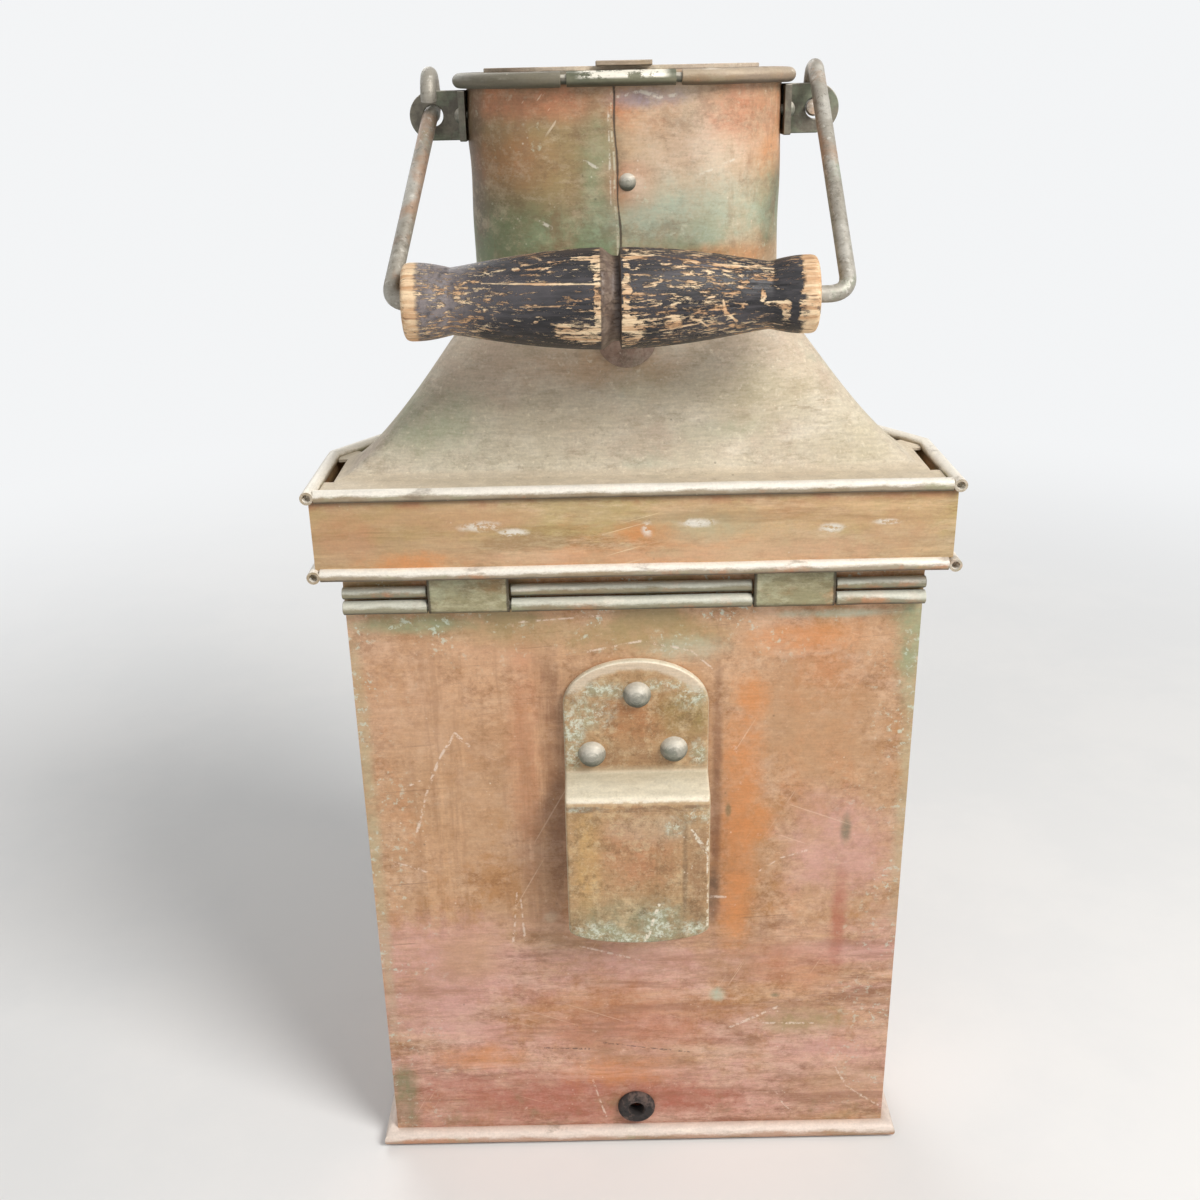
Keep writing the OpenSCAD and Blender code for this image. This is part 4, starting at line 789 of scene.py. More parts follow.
def dull_metal(name, base, pale, green=0.4, rough=0.55):
    """Rivets and lugs: dull metal, pale on top as a painted highlight, dark greenish beneath as painted shade, green in
    patches.
    """
    f = Finish(name, base, rough, 0.15, ragged=220)
    f.spread(pale, 0.7, 190, 0.44, 0.6)
    f.spread((134, 146, 122), green, 110, 0.48, 0.62, place=(3, 0, 0))
    # Pale top: painted highlight.
    f.lay((212, 205, 190), 0.75, f.step(f.total(f.up(), f.both(f.ragged, 1.2)), 0.1, 0.6))
    # Dark greenish underside: painted shade.
    f.lay((58, 66, 56), 0.8, f.step(f.total(f.up(), f.both(f.ragged, 1.2)), -0.1, -0.7))
    f.dirt(0.07, 0.4, 0.8)
    return f.finish(rough, f.noise(500, 5, 0.7), 0.1)


def wire_finish():
    """The bail: pale oxidised steel with fine pits, brownish here and there, darker beneath as painted shade."""
    f = Finish("bail_steel", (154, 148, 136), 0.42, 0.3, ragged=200)
    f.spread((188, 184, 174), 0.7, 90, 0.44, 0.6)
    f.spread((168, 128, 98), 0.6, 44, 0.52, 0.64, place=(4, 2, 2))
    f.spread((142, 156, 132), 0.55, 50, 0.54, 0.66, place=(2, 7, 2))
    f.spread((98, 90, 76), 0.6, 150, 0.54, 0.66, place=(1, 2, 2), detail=8, rough=0.75)
    f.spread((88, 82, 72), 0.45, 700, 0.58, 0.68, detail=3)
    f.spread((222, 218, 208), 0.5, 420, 0.58, 0.7, detail=3, place=(0, 4, 0))
    # Darker underside: painted shade.
    f.lay((96, 88, 74), 0.5, f.step(f.up(), -0.5, -0.9))
    f.dirt(0.06, 0.3, 0.4)
    return f.finish(0.5, f.total(f.noise(700, 4, 0.7), f.ragged), 0.12)


WOOD_BARE = [
    (-9.3, 311.7, 1.3, 13), (-16.1, 303.5, 5.5, 2.8), (-11.7, 301.4, 3.9, 3.4), (-9.4, 320.9, 2.4, 2.9),
    (-47.7, 315.1, 1.9, 1.0), (-47.7, 312.3, 1.3, 0.8), (-35.3, 313.6, 1.0, 0.6), (-31.4, 319.5, 1.3, 0.6),
    (-23.8, 316.3, 1.5, 0.7), (-21.7, 318.9, 1.4, 0.5), (-43.8, 316.7, 2.2, 0.5), (-26.4, 306.1, 1.0, 0.5),
    (-44.2, 307.6, 1.8, 0.4), (-13.4, 322, 4.0, 0.6), (-1.6, 311.6, 1.5, 14), (1.4, 322.2, 4.4, 1.2),
    (-0.4, 303.1, 3.6, 6.0), (11.0, 305.3, 2.8, 3.2), (17.5, 306.6, 2.4, 1.6), (35.8, 311.6, 1.2, 2.2),
    (38.9, 309.4, 4.3, 0.9), (42.2, 307.4, 1.6, 3.9), (47.6, 307.9, 2.6, 8), (47.9, 315.7, 2.0, 6.4),
    (2.0, 313.1, 3.2, 0.6), (15.9, 320.5, 2.7, 0.5), (27.9, 319.0, 3.2, 0.5), (15.2, 318.2, 1.8, 0.7),
    (6.1, 310.6, 2.2, 0.5), (28, 303.4, 3.0, 0.8),
]
WOOD_LINES = [(-40.9, 316.2, -9.0, 316.0, 0.45), (24.7, 310.8, 25.4, 307.5, 0.5), (25.4, 307.5, 28.5, 304.9, 0.7),
              (25.0, 319.5, 39.0, 318.0, 0.3), (-30.5, 310.3, -19.7, 310.4, 0.3), (18.4, 305.4, 21.8, 302.6, 0.4)]


def worn_wood():
    """The grip: black paint over pale wood, worn through in ragged patches and flecks along the grain, grey in patches
    on the paint as dust and painted sheen, with painted shade on its groove's steep right wall.
    """
    f = Finish("worn_wood", (214, 172, 124), 0.62, ragged=170, along=(0.28, 1, 1))
    grain = f.noise(420, 5, 0.7, (0.07, 1, 1))
    fibres = f.noise(1100, 4, 0.7, (0.05, 1, 1), (2, 2, 2))
    wood = f.mix(f.step(grain, 0.4, 0.62), srgb(200, 158, 118), srgb(240, 214, 176))
    wood = f.mix(f.both(f.step(fibres, 0.56, 0.64), 0.75), wood, srgb(112, 76, 52))
    paint = f.mix(f.step(fibres, 0.42, 0.62), srgb(22, 20, 22), srgb(52, 48, 50))
    # Grey patches on the black paint: partly dust, partly a painted sheen.
    paint = f.mix(f.both(f.step(f.noise(34, 4, 0.6, (0.6, 1, 1)), 0.46, 0.64), 0.55), paint, srgb(94, 89, 92))
    x = f.axis("X")
    half = float(GRIP_HIGH[0] - GRIP_LOW[0]) / 2
    away = f.math("ABSOLUTE", f.math("SUBTRACT", x, float(GRIP_MID[0])))
    smoky = f.both(f.step(f.total(x, f.both(f.ragged, 0.012)), -0.040, -0.052), f.step(f.noise(500, 4, 0.7), 0.3, 0.6))
    paint = f.mix(f.both(smoky, 0.85), paint, srgb(134, 124, 122))
    ends = f.step(f.total(away, f.both(f.ragged, 0.006)), half - 0.0050, half - 0.0036)
    chips = f.either(*[f.patch(*spot, soft=0.3, rough=3.4) for spot in WOOD_BARE])
    torn = f.noise(800, 7, 0.8, (0.2, 1, 1), (6, 2, 4))
    chips = f.step(f.total(f.both(chips, 0.54), torn), 0.98, 1.03)
    places = f.step(f.noise(46, 4, 0.6, (0.6, 1, 1), (1, 3, 1)), 0.36, 0.6, 0.0, 0.09)
    flecks = f.step(f.total(f.noise(1050, 7, 0.8, (0.2, 1, 1), (4, 1, 2)), places), 0.605, 0.63)
    dust = f.both(f.step(f.noise(700, 4, 0.75, (0.5, 1, 1), (7, 1, 2)), 0.6, 0.64), f.step(x, -0.03, -0.045))
    worn_lines = f.both(f.either(*[f.stroke(*line, 0.15) for line in WOOD_LINES]), f.rear())
    bare = f.either(ends, f.both(chips, f.step(f.facing.outputs["Y"], 0.15, -0.05)), flecks, f.both(dust, 0.8),
                    worn_lines)
    left_in = f.both(ends, f.step(f.noise(300, 5, 0.7, (0.4, 1, 1), (5, 5, 5)), 0.58, 0.62),
                     f.step(f.axis("Z"), float(GRIP_MID[2]) + 0.004, float(GRIP_MID[2]) - 0.006))
    bare = f.both(bare, f.math("SUBTRACT", 1.0, left_in))
    f.colour = f.mix(bare, paint, wood)
    groove = f.step(away, 0.0030, 0.0026)
    f.lay((104, 86, 74), 0.9, groove)
    f.spread((140, 122, 106), 0.6, 300, 0.46, 0.6, groove)
    # Dark right side of the groove: painted shade on its steep wall.
    f.lay((66, 54, 48), 0.8, groove, f.step(x, float(GRIP_MID[0]) + 0.0006, float(GRIP_MID[0]) + 0.0022))
    f.shade(f.step(f.noise(1500, 3, 0.7), 0.3, 0.7, 0.93, 1.07))
    height = f.total(f.both(fibres, 0.45), f.both(bare, -0.5), f.both(grain, 0.3))
    return f.finish(f.step(bare, 0, 1, 0.45, 0.75), height, 0.35)


def plain_metal(name, colour, rough, metallic=0.9, tarnish=0.5, dark=(70, 56, 36)):
    """Lamp brass and silvered metal with a patchy tarnish."""
    f = Finish(name, colour, metallic=metallic)
    f.spread(dark, tarnish, 70, 0.45, 0.66)
    return f.finish(f.step(f.ragged, -0.2, 0.2, rough, rough + 0.25), f.noise(300, 4), 0.05)


def glass_finish(name, colour, rough=0.03):
    """Clear or coloured glass with faint dust."""
    f = Finish(name, colour)
    f.shader.inputs["Transmission Weight"].default_value = 1.0
    f.shader.inputs["IOR"].default_value = 1.5
    dust = f.step(f.noise(120, 6, 0.7), 0.45, 0.75)
    f.lay((170, 160, 140), 0.12, dust)
    return f.finish(f.step(dust, 0, 1, rough, rough + 0.25))


def rubber_finish():
    """Perished black rubber, greyed and cracked."""
    f = Finish("old_rubber", (44, 38, 36), roughness=0.8, ragged=300)
    f.spread((104, 86, 78), 0.8, 230, 0.46, 0.6)
    f.spread((24, 21, 21), 0.8, 320, 0.52, 0.62, place=(1, 0, 0))
    return f.finish(None, f.total(f.noise(420, 5, 0.7), f.ragged), 0.5)


def wick_finish():
    """Flat woven cotton, charred at its tip."""
    f = Finish("cotton_wick", (176, 160, 128), roughness=0.95)
    weave = f.step(f.cells(900, (1, 0, 1)), 0.1, 0.6)
    f.lay((214, 202, 172), 1.0, weave)
    f.lay((30, 26, 22), 1.0, f.step(f.axis("Z"), 0.1, 0.108))
    return f.finish(None, weave, 0.3)


def disc_finish():
    """The patch disc on the hood: pinkish brown copper under dust, darker where it turns from facing up, at its edge,
    as painted shade.
    """
    f = Finish("disc_copper", (166, 140, 124), roughness=0.65, ragged=110)
    f.spread((146, 116, 98), 0.7, 60, 0.46, 0.6)
    f.spread((204, 180, 158), 0.6, 80, 0.52, 0.66, place=(2, 1, 0))
    f.spread((150, 152, 124), 0.5, 70, 0.54, 0.66, place=(5, 1, 0))
    f.mottling((104, 80, 64), (206, 188, 168), 0.5, 180)
    # Darker where the disc turns from facing up: painted shade.
    f.lay((62, 52, 44), 0.85, f.step(f.up(), 0.3, 0.0))
    f.dirt(0.06, 0.6, 0.8)
    return f.finish(0.65, f.noise(500, 4, 0.7), 0.12)


WALL = copper_wall()
BAND = gallery_finish()
# Each rolled edge's third colour is its dusty top with a painted highlight, its fourth the painted shade beneath.
BEAD = bead_finish("bead_copper", (166, 152, 130), (236, 230, 218), (74, 66, 52), 0.9)
BASE_EDGE = bead_finish("base_copper", (186, 152, 130), (224, 210, 198), (110, 84, 68))
RIM = bead_finish("rim_copper", (146, 128, 108), (186, 170, 148), (74, 66, 52), 0.6, (92, 92, 78))
DARK_BEAD = bead_finish("hinge_copper", (146, 140, 116), (218, 218, 204), (52, 50, 38), 0.75)
STRAP = strap_finish()
ROOF = dusty_roof()
DISC = disc_finish()
CHIMNEY = chimney_finish()
SOCKET = socket_finish()
KNUCKLE = knuckle_finish()
RIVET = dull_metal("rivet_metal", (132, 130, 118), (164, 160, 146))
LUG = dull_metal("lug_metal", (104, 98, 86), (136, 130, 114), 0.5)
WIRE = wire_finish()
WOOD = worn_wood()
BRASS = plain_metal("lamp_brass", (190, 152, 84), 0.32)
SILVER = plain_metal("silvered_dish", (216, 214, 208), 0.12, 0.95, 0.35, (120, 110, 92))
RED = glass_finish("ruby_glass", (214, 24, 18))
CLEAR = glass_finish("clear_glass", (226, 236, 230))
RUBBER = rubber_finish()
WICK = wick_finish()


def dress(name, material, bevel=0.0, segments=2, angle=35):
    """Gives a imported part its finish, with its edges rounded where asked."""
    obj = nodes[name]
    obj.data.materials.clear()
    obj.data.materials.append(material)
    if bevel:
        weld = obj.modifiers.new("weld", "WELD")
        weld.merge_threshold = 0.00002
        mod = obj.modifiers.new("bevel", "BEVEL")
        mod.width = bevel
        mod.segments = segments
        mod.limit_method = "ANGLE"
        mod.angle_limit = math.radians(angle)
        mod.harden_normals = False


def dress_parts():
    """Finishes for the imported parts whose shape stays."""
    for name in ("case_shell", "base_plate", "reflector_stem", "font_guide", "lid_neck", "heat_baffle", "lid_tab"):
        dress(name, WALL)
    dress("gallery_band", BAND)
    dress("roof_disc", DISC, 0.2 * MM)
    dress("cap_plate", ROOF, 0.2 * MM)
    for name in ("hinge_strap_left", "hinge_strap_right"):
        dress(name, STRAP, 0.25 * MM)
    dress("cap_knuckle", KNUCKLE, 0.25 * MM)
    dress("cap_strap", RIM, 0.25 * MM)
    dress("lens_clip", WIRE)
    for name in ("hinge_pin", "rim_wire"):
        dress(name, LUG)
    for name in ("left_lug", "right_lug"):
        dress(name, LUG, 0.3 * MM)
    for name in ("socket_rivets", "seam_rivet", "lug_rivets"):
        dress(name, RIVET)
    for name in ("lens_ring", "left_light_ring", "right_light_ring", "oil_font", "filler_neck", "filler_cap",
                 "burner_collar", "burner_drum", "burner_cone", "wick_tube", "winder_spindle", "winder_knob"):
        dress(name, BRASS, 0.25 * MM)
    dress("reflector", SILVER)
    dress("left_light_glass", CLEAR)
    dress("right_light_glass", CLEAR)
    dress("bulls_eye_lens", RED)
    dress("cable_grommet", RUBBER, 0.3 * MM)
    dress("wick", WICK)
    dress("roof_plate", ROOF, 0.2 * MM)


def make_beads():
    """Rolled edges: the base's mitred loop, and the gallery's side lengths and straight back lengths."""
    rings, _ = bay_tube(1.6 * MM, 2.9 * MM, 2.9 * MM, [0, 1, 2, 3, 4, 5, 0], seed=3)
    rings = rings[:-1]
    rings[..., 2] = np.maximum(rings[..., 2], 0.0)
    base = (rings.reshape(-1, 3), grid_faces(len(rings), rings.shape[1], wrap_rows=True), [])
    piece("base_edge", [base], BASE_EDGE, "case", ("base_bead",))
    for name, z, out, seed in (("gallery_bottom_edge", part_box("gallery_bottom_bead"), 0.4 * MM, 5),
                               ("gallery_top_edge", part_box("gallery_top_bead"), 0.0, 9)):
        low, high = z
        mid = high[2] - BEAD_R * math.sin(math.radians(60)) if out else low[2] + BEAD_R * math.sin(math.radians(60))
        o = GALLERY_OUT + out
        sides, _ = bay_tube(o, mid, BEAD_R, [1, 2, 3, 4, 5, 0], seed=seed)
        sides[0, :, 1] = BACK - o - BEAD_R
        sides[-1, :, 1] = BACK - o - BEAD_R
        x = np.linspace(-(HALF_W + o - BEAD_R + 0.1 * MM), HALF_W + o - BEAD_R + 0.1 * MM, 60)
        back = np.stack([x, np.full_like(x, BACK - o) + wander(x, seed + 1, 0.15 * MM),
                         mid + wander(x, seed + 2, 0.2 * MM)], -1)
        piece(name, [close_rings(sides, 2.5 * MM), tube(back, BEAD_R, 20)], BEAD, "lid",
              (name.replace("edge", "bead"),))


def rolled_lengths(name, node, centre_y, centre_z, radius, spans, seed, body, material):
    """Straight rolled lengths along X, with open ends."""
    parts = []
    for k, (x0, x1) in enumerate(spans):
        x = np.linspace(x0, x1, max(8, int((x1 - x0) / (3 * MM))))
        path = np.stack([x, centre_y + wander(x, seed + k, 0.08 * MM), centre_z + wander(x, seed + k + 7, 0.12 * MM)], -1)
        parts.append(tube(path, radius + wander(x, seed + k + 3, 0.05 * MM), 20, 2 * MM))
    piece(name, parts, material, body, (node,))


HOOD_SPANS = [(0, 1, -0.2, 1.2, 60), (1, 1, 1.2, 1.4, 12), (1, 2, 1.4, 1.55, 10), (2, 2, 1.55, 1.62, 5),
              (2, 3, 1.62, 1.8, 22), (3, 3, 1.8, 1.9, 8), (3, 4, 1.9, 3.1, 40), (4, 4, 3.1, 3.2, 8),
              (4, 5, 3.2, 3.38, 22), (5, 5, 3.38, 3.45, 5), (5, 0, 3.45, 3.6, 10), (0, 0, 3.6, 3.8, 12)]


def make_hood():
    """The hood: each foot point joined to a point on the oblong, eased by a flare and a soft curve at the foot."""
    which, along, u = [], [], []
    for a, b, u0, u1, n in HOOD_SPANS:
        k = np.arange(n) / n
        which += [(a, b)] * n
        along.append(k)
        u.append(u0 + (u1 - u0) * k)
    which = np.array(which)
    along = np.concatenate(along)[:, None]
    u = np.concatenate(u)
    z0, z1 = HOOD_LOW[2], HOOD_HIGH[2]

    def ring(t, o, toe=0.0):
        f = foot(o + toe)
        a = f[which[:, 0]] * (1 - along) + f[which[:, 1]] * along
        s = t + HOOD_FLARE * t * (1 - t) ** 2
        xy = a * (1 - s) + oblong(u, o) * s
        return np.column_stack([xy, np.full(len(u), z0 + (z1 - z0) * t)])

    start = 0.14
    levels = []
    for k in np.linspace(0, 1, 12)[:-1]:
        toe, heel, up = ring(0, 0, 3.4 * MM), ring(0, 0), ring(start, 0)
        levels.append((1 - k) ** 2 * toe + 2 * k * (1 - k) * heel + k * k * up)
    levels += [ring(t, 0) for t in np.linspace(start, 1, 34)]
    outer = np.array(levels)
    outer[0, :, 2] -= 0.2 * MM
    outer[:, :, 2] += 0.12 * MM * (1 - smooth(0, 0.1, np.linspace(0, 1, len(outer))))[:, None]
    inner = np.array([ring(t, -1.2 * MM) for t in np.linspace(1, 0, 12)])
    rings = np.concatenate([outer, inner])
    surface = (rings.reshape(-1, 3), grid_faces(len(rings), len(u), wrap_rows=True), [])
    piece("hood_sheet", [surface], ROOF, "lid", ("roof_hood",), sharp=60)


def make_chimney():
    """The chimney tube, its left edge lapped over the right along a wandering seam, with small dents."""
    z0, z1 = CHIMNEY_LOW[2], CHIMNEY_HIGH[2]
    z = np.linspace(z0, z1, 60)
    seam = (-1.5 - 2.45 * (z - z0) / (z1 - z0)) * MM + 0.2 * MM * np.sin((z - z0) * 320)
    back = np.concatenate([np.linspace(0, 0.4999, 26), np.linspace(0.5001, 1, 26)[:-1]])
    u = np.concatenate([back, np.linspace(1, 4, 200, endpoint=False)])
    uu, zz = np.meshgrid(u, z)
    on_back = (uu < 1) | (uu > 3.999)
    x = CHIMNEY_FLAT * (2 * uu - 1)
    lift = np.where((uu < 0.5), 0.75 * MM * smooth(-15 * MM, 0.0, x), 0.0)
    dents = 0.25 * MM * np.sin(uu * 4.2 + zz * 90) * np.sin(zz * 130 + uu * 3)
    bulge = 0.7 * MM * np.exp(-((zz - 0.353) / 0.008) ** 2) * np.exp(-((uu - 3.62) / 0.12) ** 2)
    edge = 0.5 * MM * (1 - smooth(z0, z0 + 2 * MM, zz))
    xy = oblong(uu, lift + dents * (1 - smooth(z1 - 12 * MM, z1 - 4 * MM, zz)) + bulge + edge)
    pull = np.where(on_back, np.clip(1 - np.abs(2 * uu - 1), 0, 1) ** 0.6, 0)
    xy[..., 0] += pull * seam[:, None]
    outer = np.dstack([xy, zz])
    inner_xy = oblong(uu[::-1], -SHEET)
    inner = np.dstack([inner_xy, zz[::-1]])
    rings = np.concatenate([outer, inner])
    surface = (rings.reshape(-1, 3), grid_faces(len(rings), len(u), wrap_rows=True), [])
    tube_piece = piece("chimney_tube", [surface], CHIMNEY, "lid", ("chimney_shell",), sharp=50)
    far = np.full(uu.size, 99.0)
    from_seam = np.concatenate([np.where(on_back, x / MM, 99.0).ravel(), far])
    tube_piece.data.attributes.new("seam", "FLOAT", "POINT").data.foreach_set("value", from_seam)


def make_rim():
    """The wired rim: a rolled tube on the oblong, open at the back for the cap's knuckle."""
    low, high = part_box("rim_wire")
    u0 = (high[0] + CHIMNEY_FLAT) / (2 * CHIMNEY_FLAT)
    u1 = 4 + (low[0] + CHIMNEY_FLAT) / (2 * CHIMNEY_FLAT)
    u = np.concatenate([[u0], np.linspace(1, 4, 200), [u1]])
    s = u * 60 * MM
    xy = oblong(u, RIM_R - 0.05 * MM)
    path = np.column_stack([xy, RIM_Z + wander(s, 21, 0.2 * MM)])
    piece("rim_roll", [tube(path, RIM_R + wander(s, 22, 0.06 * MM), 20, 1.2 * MM)], RIM, "lid", ("rim_bead",))


def eye_path(x, start, stop, n):
    """Points on an eye's circle in the plane at x, from angle start to stop in degrees."""
    a = np.radians(np.linspace(start, stop, n))
    eye_z = RIM_Z - HOLE_DROP + EYE_R
    return np.column_stack([np.full(n, x), CHIMNEY_Y + EYE_R * np.cos(a), eye_z + EYE_R * np.sin(a)])


def rounded(a, b, c, t, n):
    """A corner at b rounded over the distance t along each leg, as a parabola."""
    p = b + (a - b) / np.linalg.norm(a - b) * t
    q = b + (c - b) / np.linalg.norm(c - b) * t
    s = np.linspace(0, 1, n)[:, None]
    return (1 - s) ** 2 * p + 2 * s * (1 - s) * b + s * s * q


def make_bail():
    """The bail: one wire from the left eye's cut end, down the arm, through the grip and up to the right eye."""
    eye_z = RIM_Z - HOLE_DROP + EYE_R
    grip_y = CHIMNEY_Y - math.sin(BAIL_LEAN) * BAIL_L
    grip_z = eye_z - math.cos(BAIL_LEAN) * BAIL_L
    left = np.array([-ARM_LEFT, grip_y, grip_z])
    right = np.array([ARM_RIGHT, grip_y, grip_z])
    tangent = 270 - math.degrees(BAIL_LEAN) - math.degrees(math.acos(EYE_R / BAIL_L))
    hole = eye_path(-EYE_X - 0.5 * MM, 270, 270, 1)[0]
    root = np.array([-EYE_X - 0.6 * MM, CHIMNEY_Y - 3.8 * MM, eye_z - EYE_R])
    right_root = eye_path(EYE_X - 0.5 * MM, tangent, tangent, 1)[0]
    path = np.concatenate([
        eye_path(-EYE_X - 0.5 * MM, 195, -75, 40), rounded(hole, root, left, 3 * MM, 8),
        np.linspace(root, left, 26)[3:-3], rounded(root, left, right, 6.5 * MM, 12),
        np.linspace(left, right, 30)[3:-3], rounded(left, right, right_root, 6.5 * MM, 12),
        np.linspace(right, right_root, 26)[3:-1], eye_path(EYE_X - 0.5 * MM, tangent, -112, 40)])
    keep = np.concatenate([[True], np.linalg.norm(np.diff(path, axis=0), axis=1) > 0.2 * MM])
    path = path[keep]
    s = np.concatenate([[0], np.cumsum(np.linalg.norm(np.diff(path, axis=0), axis=1))])
    piece("bail_rod", [tube(path, WIRE_R + wander(s, 31, 0.06 * MM), 20)], WIRE, "bail", ("bail_wire",))


def grip_radius(x, half):
    """The grip's turned outline: a full middle, a waist 13 mm from each end and a flared lip."""
    u = np.abs(x)
    waist = half - 13 * MM
    inner = 9.25 * MM + 4.7 * MM * np.clip(1 - (u / waist) ** 2, 0, 1) ** 1.2
    outer = 9.25 * MM + 1.5 * MM * np.sin(np.pi / 2 * np.clip((u - waist) / (10 * MM), 0, 1))
    return np.where(u < waist, inner, outer)


def make_grip():
    """The turned grip with its groove, rounded lips, bored ends, and splits that run along the grain.
    The groove falls slowly from its left edge, is deepest near its right one and climbs steeply there."""
    half = (GRIP_HIGH[0] - GRIP_LOW[0]) / 2
    lip_r = 2 * MM
    bore = 2.75 * MM
    x = np.concatenate([np.linspace(-half, -half + lip_r, 8), np.linspace(-half + 2.5 * MM, -3 * MM, 105),
                        np.linspace(-2.9 * MM, 2.9 * MM, 40), np.linspace(3 * MM, half - 2.5 * MM, 105),
                        np.linspace(half - lip_r, half, 8)])
    r = grip_radius(x, half)
    near_end = 1 - np.clip((half - np.abs(x)) / lip_r, 0, 1)
    r -= 1.1 * MM * (1 - np.sqrt(np.clip(1 - near_end ** 2, 0, 1)))
    r -= 2.3 * MM * smooth(-2.5 * MM, 1.2 * MM, x) ** 0.8 * smooth(2.85 * MM, 2.3 * MM, x)
    sides = 200
    a = np.linspace(0, 2 * math.pi, sides, endpoint=False)
    rr = np.broadcast_to(r[:, None], (len(x), sides)).copy()
    rng = np.random.default_rng(7)
    for _ in range(26):
        at, width = rng.uniform(0, 6.28), rng.uniform(0.012, 0.03)
        mid, span = rng.uniform(-half, half), rng.uniform(6, 26) * MM
        bend = rng.uniform(-0.1, 0.1)
        line = at + bend * np.sin((x - mid) / span * 3)
        gap = np.angle(np.exp(1j * (a[None, :] - line[:, None])))
        deep = rng.uniform(0.08, 0.3) * MM
        rr -= deep * np.exp(-(gap / width) ** 2) * np.exp(-((x - mid) / span) ** 4)[:, None]
    rr += 0.08 * MM * np.sin(a[None] * 3 + x[:, None] * 60)
    rings = np.stack([np.broadcast_to(x[:, None], rr.shape), rr * np.cos(a), rr * np.sin(a)], -1)
    ends = []
    for s, depth in ((-1, 1), (1, -1)):
        e = [np.stack([np.full(sides, s * half + depth * d), k * np.cos(a), k * np.sin(a)], -1)
             for d, k in ((0.0, 8 * MM), (0.2 * MM, 5.6 * MM), (4 * MM, bore))]
        ends.append(np.array(e if s > 0 else e[::-1]))
    rings = np.concatenate([ends[0], rings, ends[1]])
    rings += GRIP_MID
    surface = (rings.reshape(-1, 3), grid_faces(len(rings), sides, wrap_rows=True), [])
    piece("wood_grip", [surface], WOOD, "grip", ("handle_grip",), sharp=50)


def make_socket():
    """The lamp-iron socket: its outline laid on the stepped plate's middle line and moved out to both faces.
    Each ring is the outline inset by some distance, narrowed towards its upright spine and lifted along the
    plate's normal; the rings run over the rear face, round the rounded edge and back over the inner face."""
    low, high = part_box("lamp_iron_socket")
    half_t = 1.5 * MM
    half_w = 23.4 * MM
    dome, sole = 15.5 * MM, 6 * MM
    edge_r = 1.0 * MM
    top, foot_z = high[2], low[2]
    mid_x = (low[0] + high[0]) / 2
    inner_y, outer_y = BACK - half_t, low[1] + half_t
    upper = np.array([0, inner_y, 156.2 * MM])
    lower = np.array([0, outer_y, 151.6 * MM])
    path = np.concatenate([
        np.linspace([0, inner_y, top], upper, 30)[:-3], rounded(np.array([0, inner_y, top]), upper, lower, 2.4 * MM, 9),
        np.linspace(upper, lower, 9)[3:-2], rounded(upper, lower, np.array([0, outer_y, foot_z]), 1.5 * MM, 9),
        np.linspace(lower, [0, outer_y, foot_z], 40)[2:]])
    slope = np.gradient(path[:, 1:], axis=0)
    slope /= np.linalg.norm(slope, axis=1, keepdims=True)
    a = np.radians((np.arange(24) + 0.5) * 90 / 24)
    run = path[1:-1, 2]
    run = run[(run < top - dome - 0.2 * MM) & (run > foot_z + sole + 0.2 * MM)]
    flat = np.zeros(len(run))

    def ring(inset, narrow, lift):
        w = half_w - inset
        x = np.concatenate([w * np.sin(a), flat + w, w * np.cos(a)]) * narrow
        z = np.concatenate([top - dome + (dome - inset) * np.cos(a), run, foot_z + sole - (sole - inset) * np.sin(a)])
        x = np.concatenate([x, -x[::-1]])
        z = np.concatenate([z, z[::-1]])
        at = [np.interp(-z, -path[:, 2], column) for column in (path[:, 1], slope[:, 0], slope[:, 1])]
        return np.column_stack([mid_x + x, at[0] + lift * at[2], z - lift * at[1]])

    turn = np.radians(np.linspace(0, 90, 7))
    face = [(edge_r, k, half_t) for k in np.linspace(0.015, 1, 22)]
    edge = [(edge_r * (1 - math.sin(v)), 1, half_t - edge_r * (1 - math.cos(v))) for v in turn[1:]]
    rear = face + edge
    rings = np.array([ring(*row) for row in rear] + [ring(i, k, -lift) for i, k, lift in rear[::-1]])
    rows, sides = rings.shape[:2]
    i = np.arange(sides // 2 - 1)
    zipper = np.column_stack([i, i + 1, sides - 2 - i, sides - 1 - i])
    quads = np.concatenate([grid_faces(rows, sides), zipper[:, ::-1], zipper + (rows - 1) * sides])
    piece("socket_plate", [(rings.reshape(-1, 3), quads, [])], SOCKET, "case",
          ("lamp_iron_socket",), sharp=60)


def make_camera():
    """The photograph's view: a camera above and behind the lamp, looking down at its back."""
    focal_px, frame_px = 1300.3, 1200
    pitch, yaw, roll = math.radians(22.33), math.radians(-0.10), math.radians(-1.21)
    forward = np.array([math.sin(yaw) * math.cos(pitch), math.cos(yaw) * math.cos(pitch), -math.sin(pitch)])
    level = np.array([math.cos(yaw), -math.sin(yaw), 0])
    up = np.cross(level, forward)
    right = level * math.cos(roll) + up * math.sin(roll)
    top = up * math.cos(roll) - level * math.sin(roll)
    data = bpy.data.cameras.new("camera")
    data.sensor_width = 36
    data.lens = focal_px / frame_px * 36
    camera = bpy.data.objects.new("camera", data)
    bpy.context.scene.collection.objects.link(camera)
    turn = Matrix([[right[i], top[i], -forward[i]] for i in range(3)]).to_4x4()
    camera.matrix_world = Matrix.Translation(Vector((-9.9 * MM, -427.0 * MM, 370.3 * MM))) @ turn
    bpy.context.scene.camera = camera


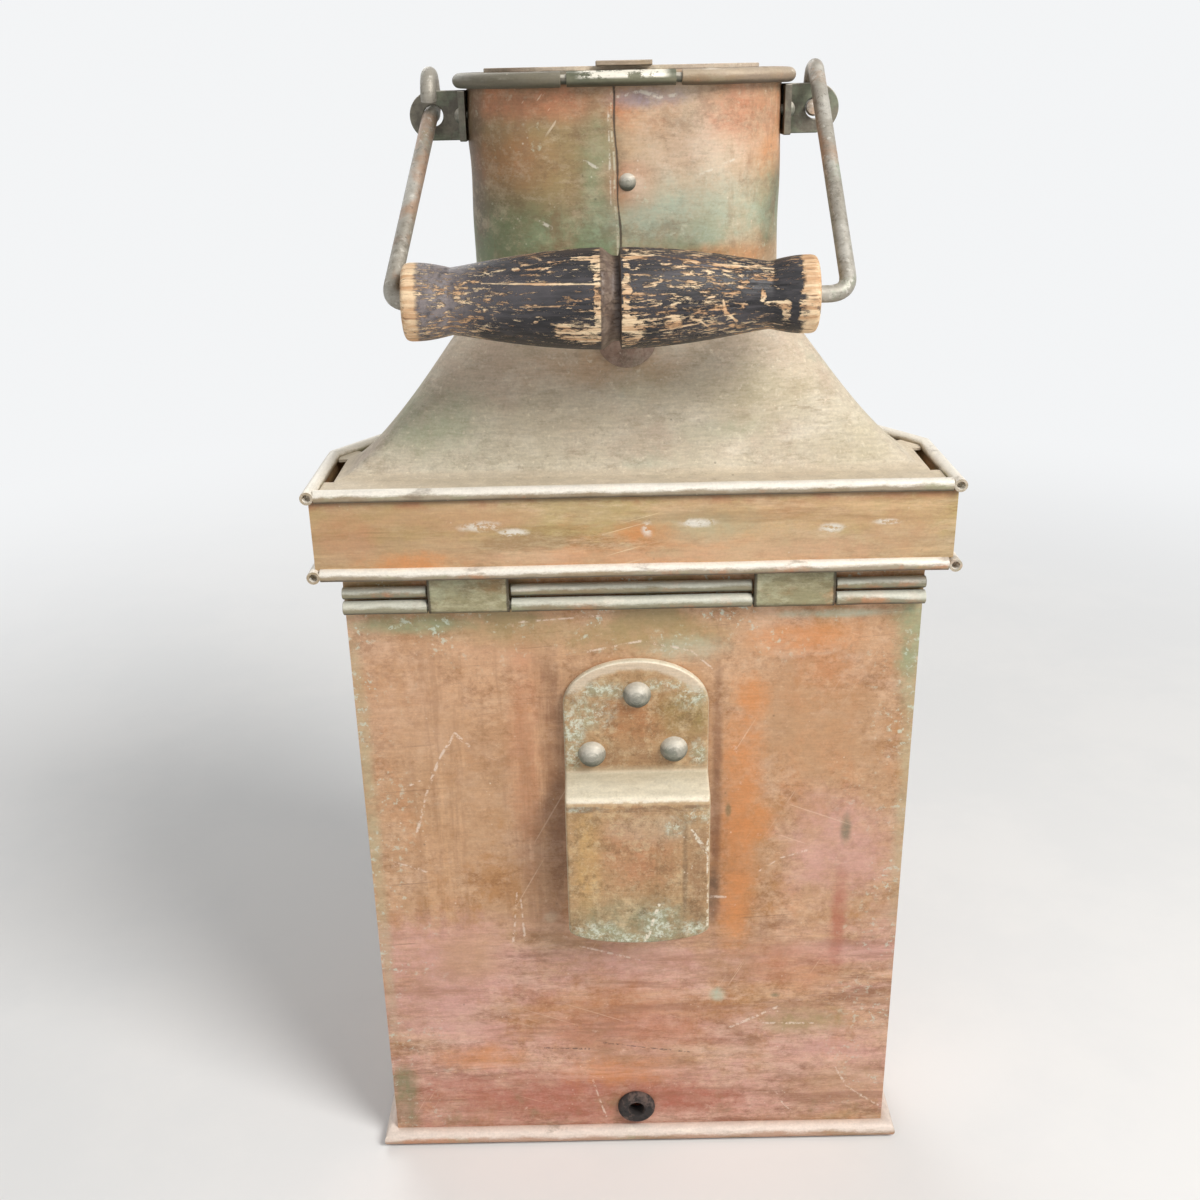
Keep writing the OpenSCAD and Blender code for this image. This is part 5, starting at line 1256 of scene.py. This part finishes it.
def area_light(name, place, aim, size, power, colour=(1, 1, 1)):
    data = bpy.data.lights.new(name, "AREA")
    data.shape = "DISK"
    data.size = size
    data.energy = power
    data.color = colour
    light = bpy.data.objects.new(name, data)
    light.location = place
    light.rotation_euler = (Vector(aim) - Vector(place)).to_track_quat("-Z", "Y").to_euler()
    bpy.context.scene.collection.objects.link(light)


def make_studio():
    """A pale floor that brightens into the white surround far off, and soft lamps from above and both sides."""
    floor_mesh = bpy.data.meshes.new("floor")
    s = 4.0
    floor_mesh.from_pydata([(-s, -s, 0), (s, -s, 0), (s, s, 0), (-s, s, 0)], [], [(0, 1, 2, 3)])
    floor = bpy.data.objects.new("floor", floor_mesh)
    bpy.context.scene.collection.objects.link(floor)
    f = Finish("floor_paint", (228, 228, 227), roughness=0.9)
    f.spread((234, 233, 231), 0.6, 6, 0.4, 0.6)
    floor_mesh.materials.append(f.finish())
    away = f.add("ShaderNodeVectorMath", Vector=f.mapped((1, 1, 0), (0, 0, 0)))
    away.operation = "LENGTH"
    seen = seen_rays(f.tree)
    far = f.both(f.step(away.outputs["Value"], 0.3, 1.0), seen)
    glow = f.tree.nodes.new("ShaderNodeEmission")
    glow.inputs["Color"].default_value = SURROUND
    blend = f.tree.nodes.new("ShaderNodeMixShader")
    f.plug(blend.inputs[0], far)
    f.tree.links.new(f.shader.outputs[0], blend.inputs[1])
    f.tree.links.new(glow.outputs[0], blend.inputs[2])
    f.tree.links.new(blend.outputs[0], f.tree.nodes["Material Output"].inputs["Surface"])
    world = bpy.data.worlds.new("studio")
    bpy.context.scene.world = world
    world.use_nodes = True
    tree = world.node_tree
    back = tree.nodes["Background"]
    back.inputs["Color"].default_value = SURROUND
    strength = tree.nodes.new("ShaderNodeMapRange")
    strength.inputs["To Min"].default_value = WORLD_LIGHT
    strength.inputs["To Max"].default_value = 1.0
    tree.links.new(seen_rays(tree), strength.inputs["Value"])
    tree.links.new(strength.outputs[0], back.inputs["Strength"])
    aim = (0, 0, 0.2)
    area_light("key", (0.8, -0.75, 1.15), aim, 0.7, 20.5, (1, 0.98, 0.96))
    area_light("left_fill", (-0.7, -1.3, 0.5), aim, 1.4, 3.6, (0.96, 0.98, 1))
    area_light("back_light", (-0.5, 1.2, 1.0), aim, 1.0, 8)


def seen_rays(tree):
    """1 for rays that come from the camera, a gloss or a glass."""
    path = tree.nodes.new("ShaderNodeLightPath")
    out = path.outputs["Is Camera Ray"]
    for name in ("Is Glossy Ray", "Is Transmission Ray"):
        node = tree.nodes.new("ShaderNodeMath")
        node.operation = "MAXIMUM"
        tree.links.new(out, node.inputs[0])
        tree.links.new(path.outputs[name], node.inputs[1])
        out = node.outputs[0]
    return out


dress_parts()
make_beads()
lid_y = (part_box("lid_flange_bead")[0][1] + 1.9 * MM)
tube_low, tube_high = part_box("hinge_tube")
spans = [(-HALF_W, -64 * MM), (-38 * MM, 36.4 * MM), (62.4 * MM, HALF_W)]
rolled_lengths("hinge_roll", "hinge_tube", tube_low[1] + 2.2 * MM, (tube_low[2] + tube_high[2]) / 2, 2.2 * MM,
               spans, 41, "case", DARK_BEAD)
flange_low, flange_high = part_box("lid_flange_bead")
rolled_lengths("lid_roll", "lid_flange_bead", lid_y, (flange_low[2] + flange_high[2]) / 2, 1.9 * MM,
               spans, 51, "lid", DARK_BEAD)
make_hood()
make_chimney()
make_rim()
make_bail()
make_grip()
make_socket()
make_camera()
make_studio()
bpy.context.scene.view_settings.view_transform = "Standard"
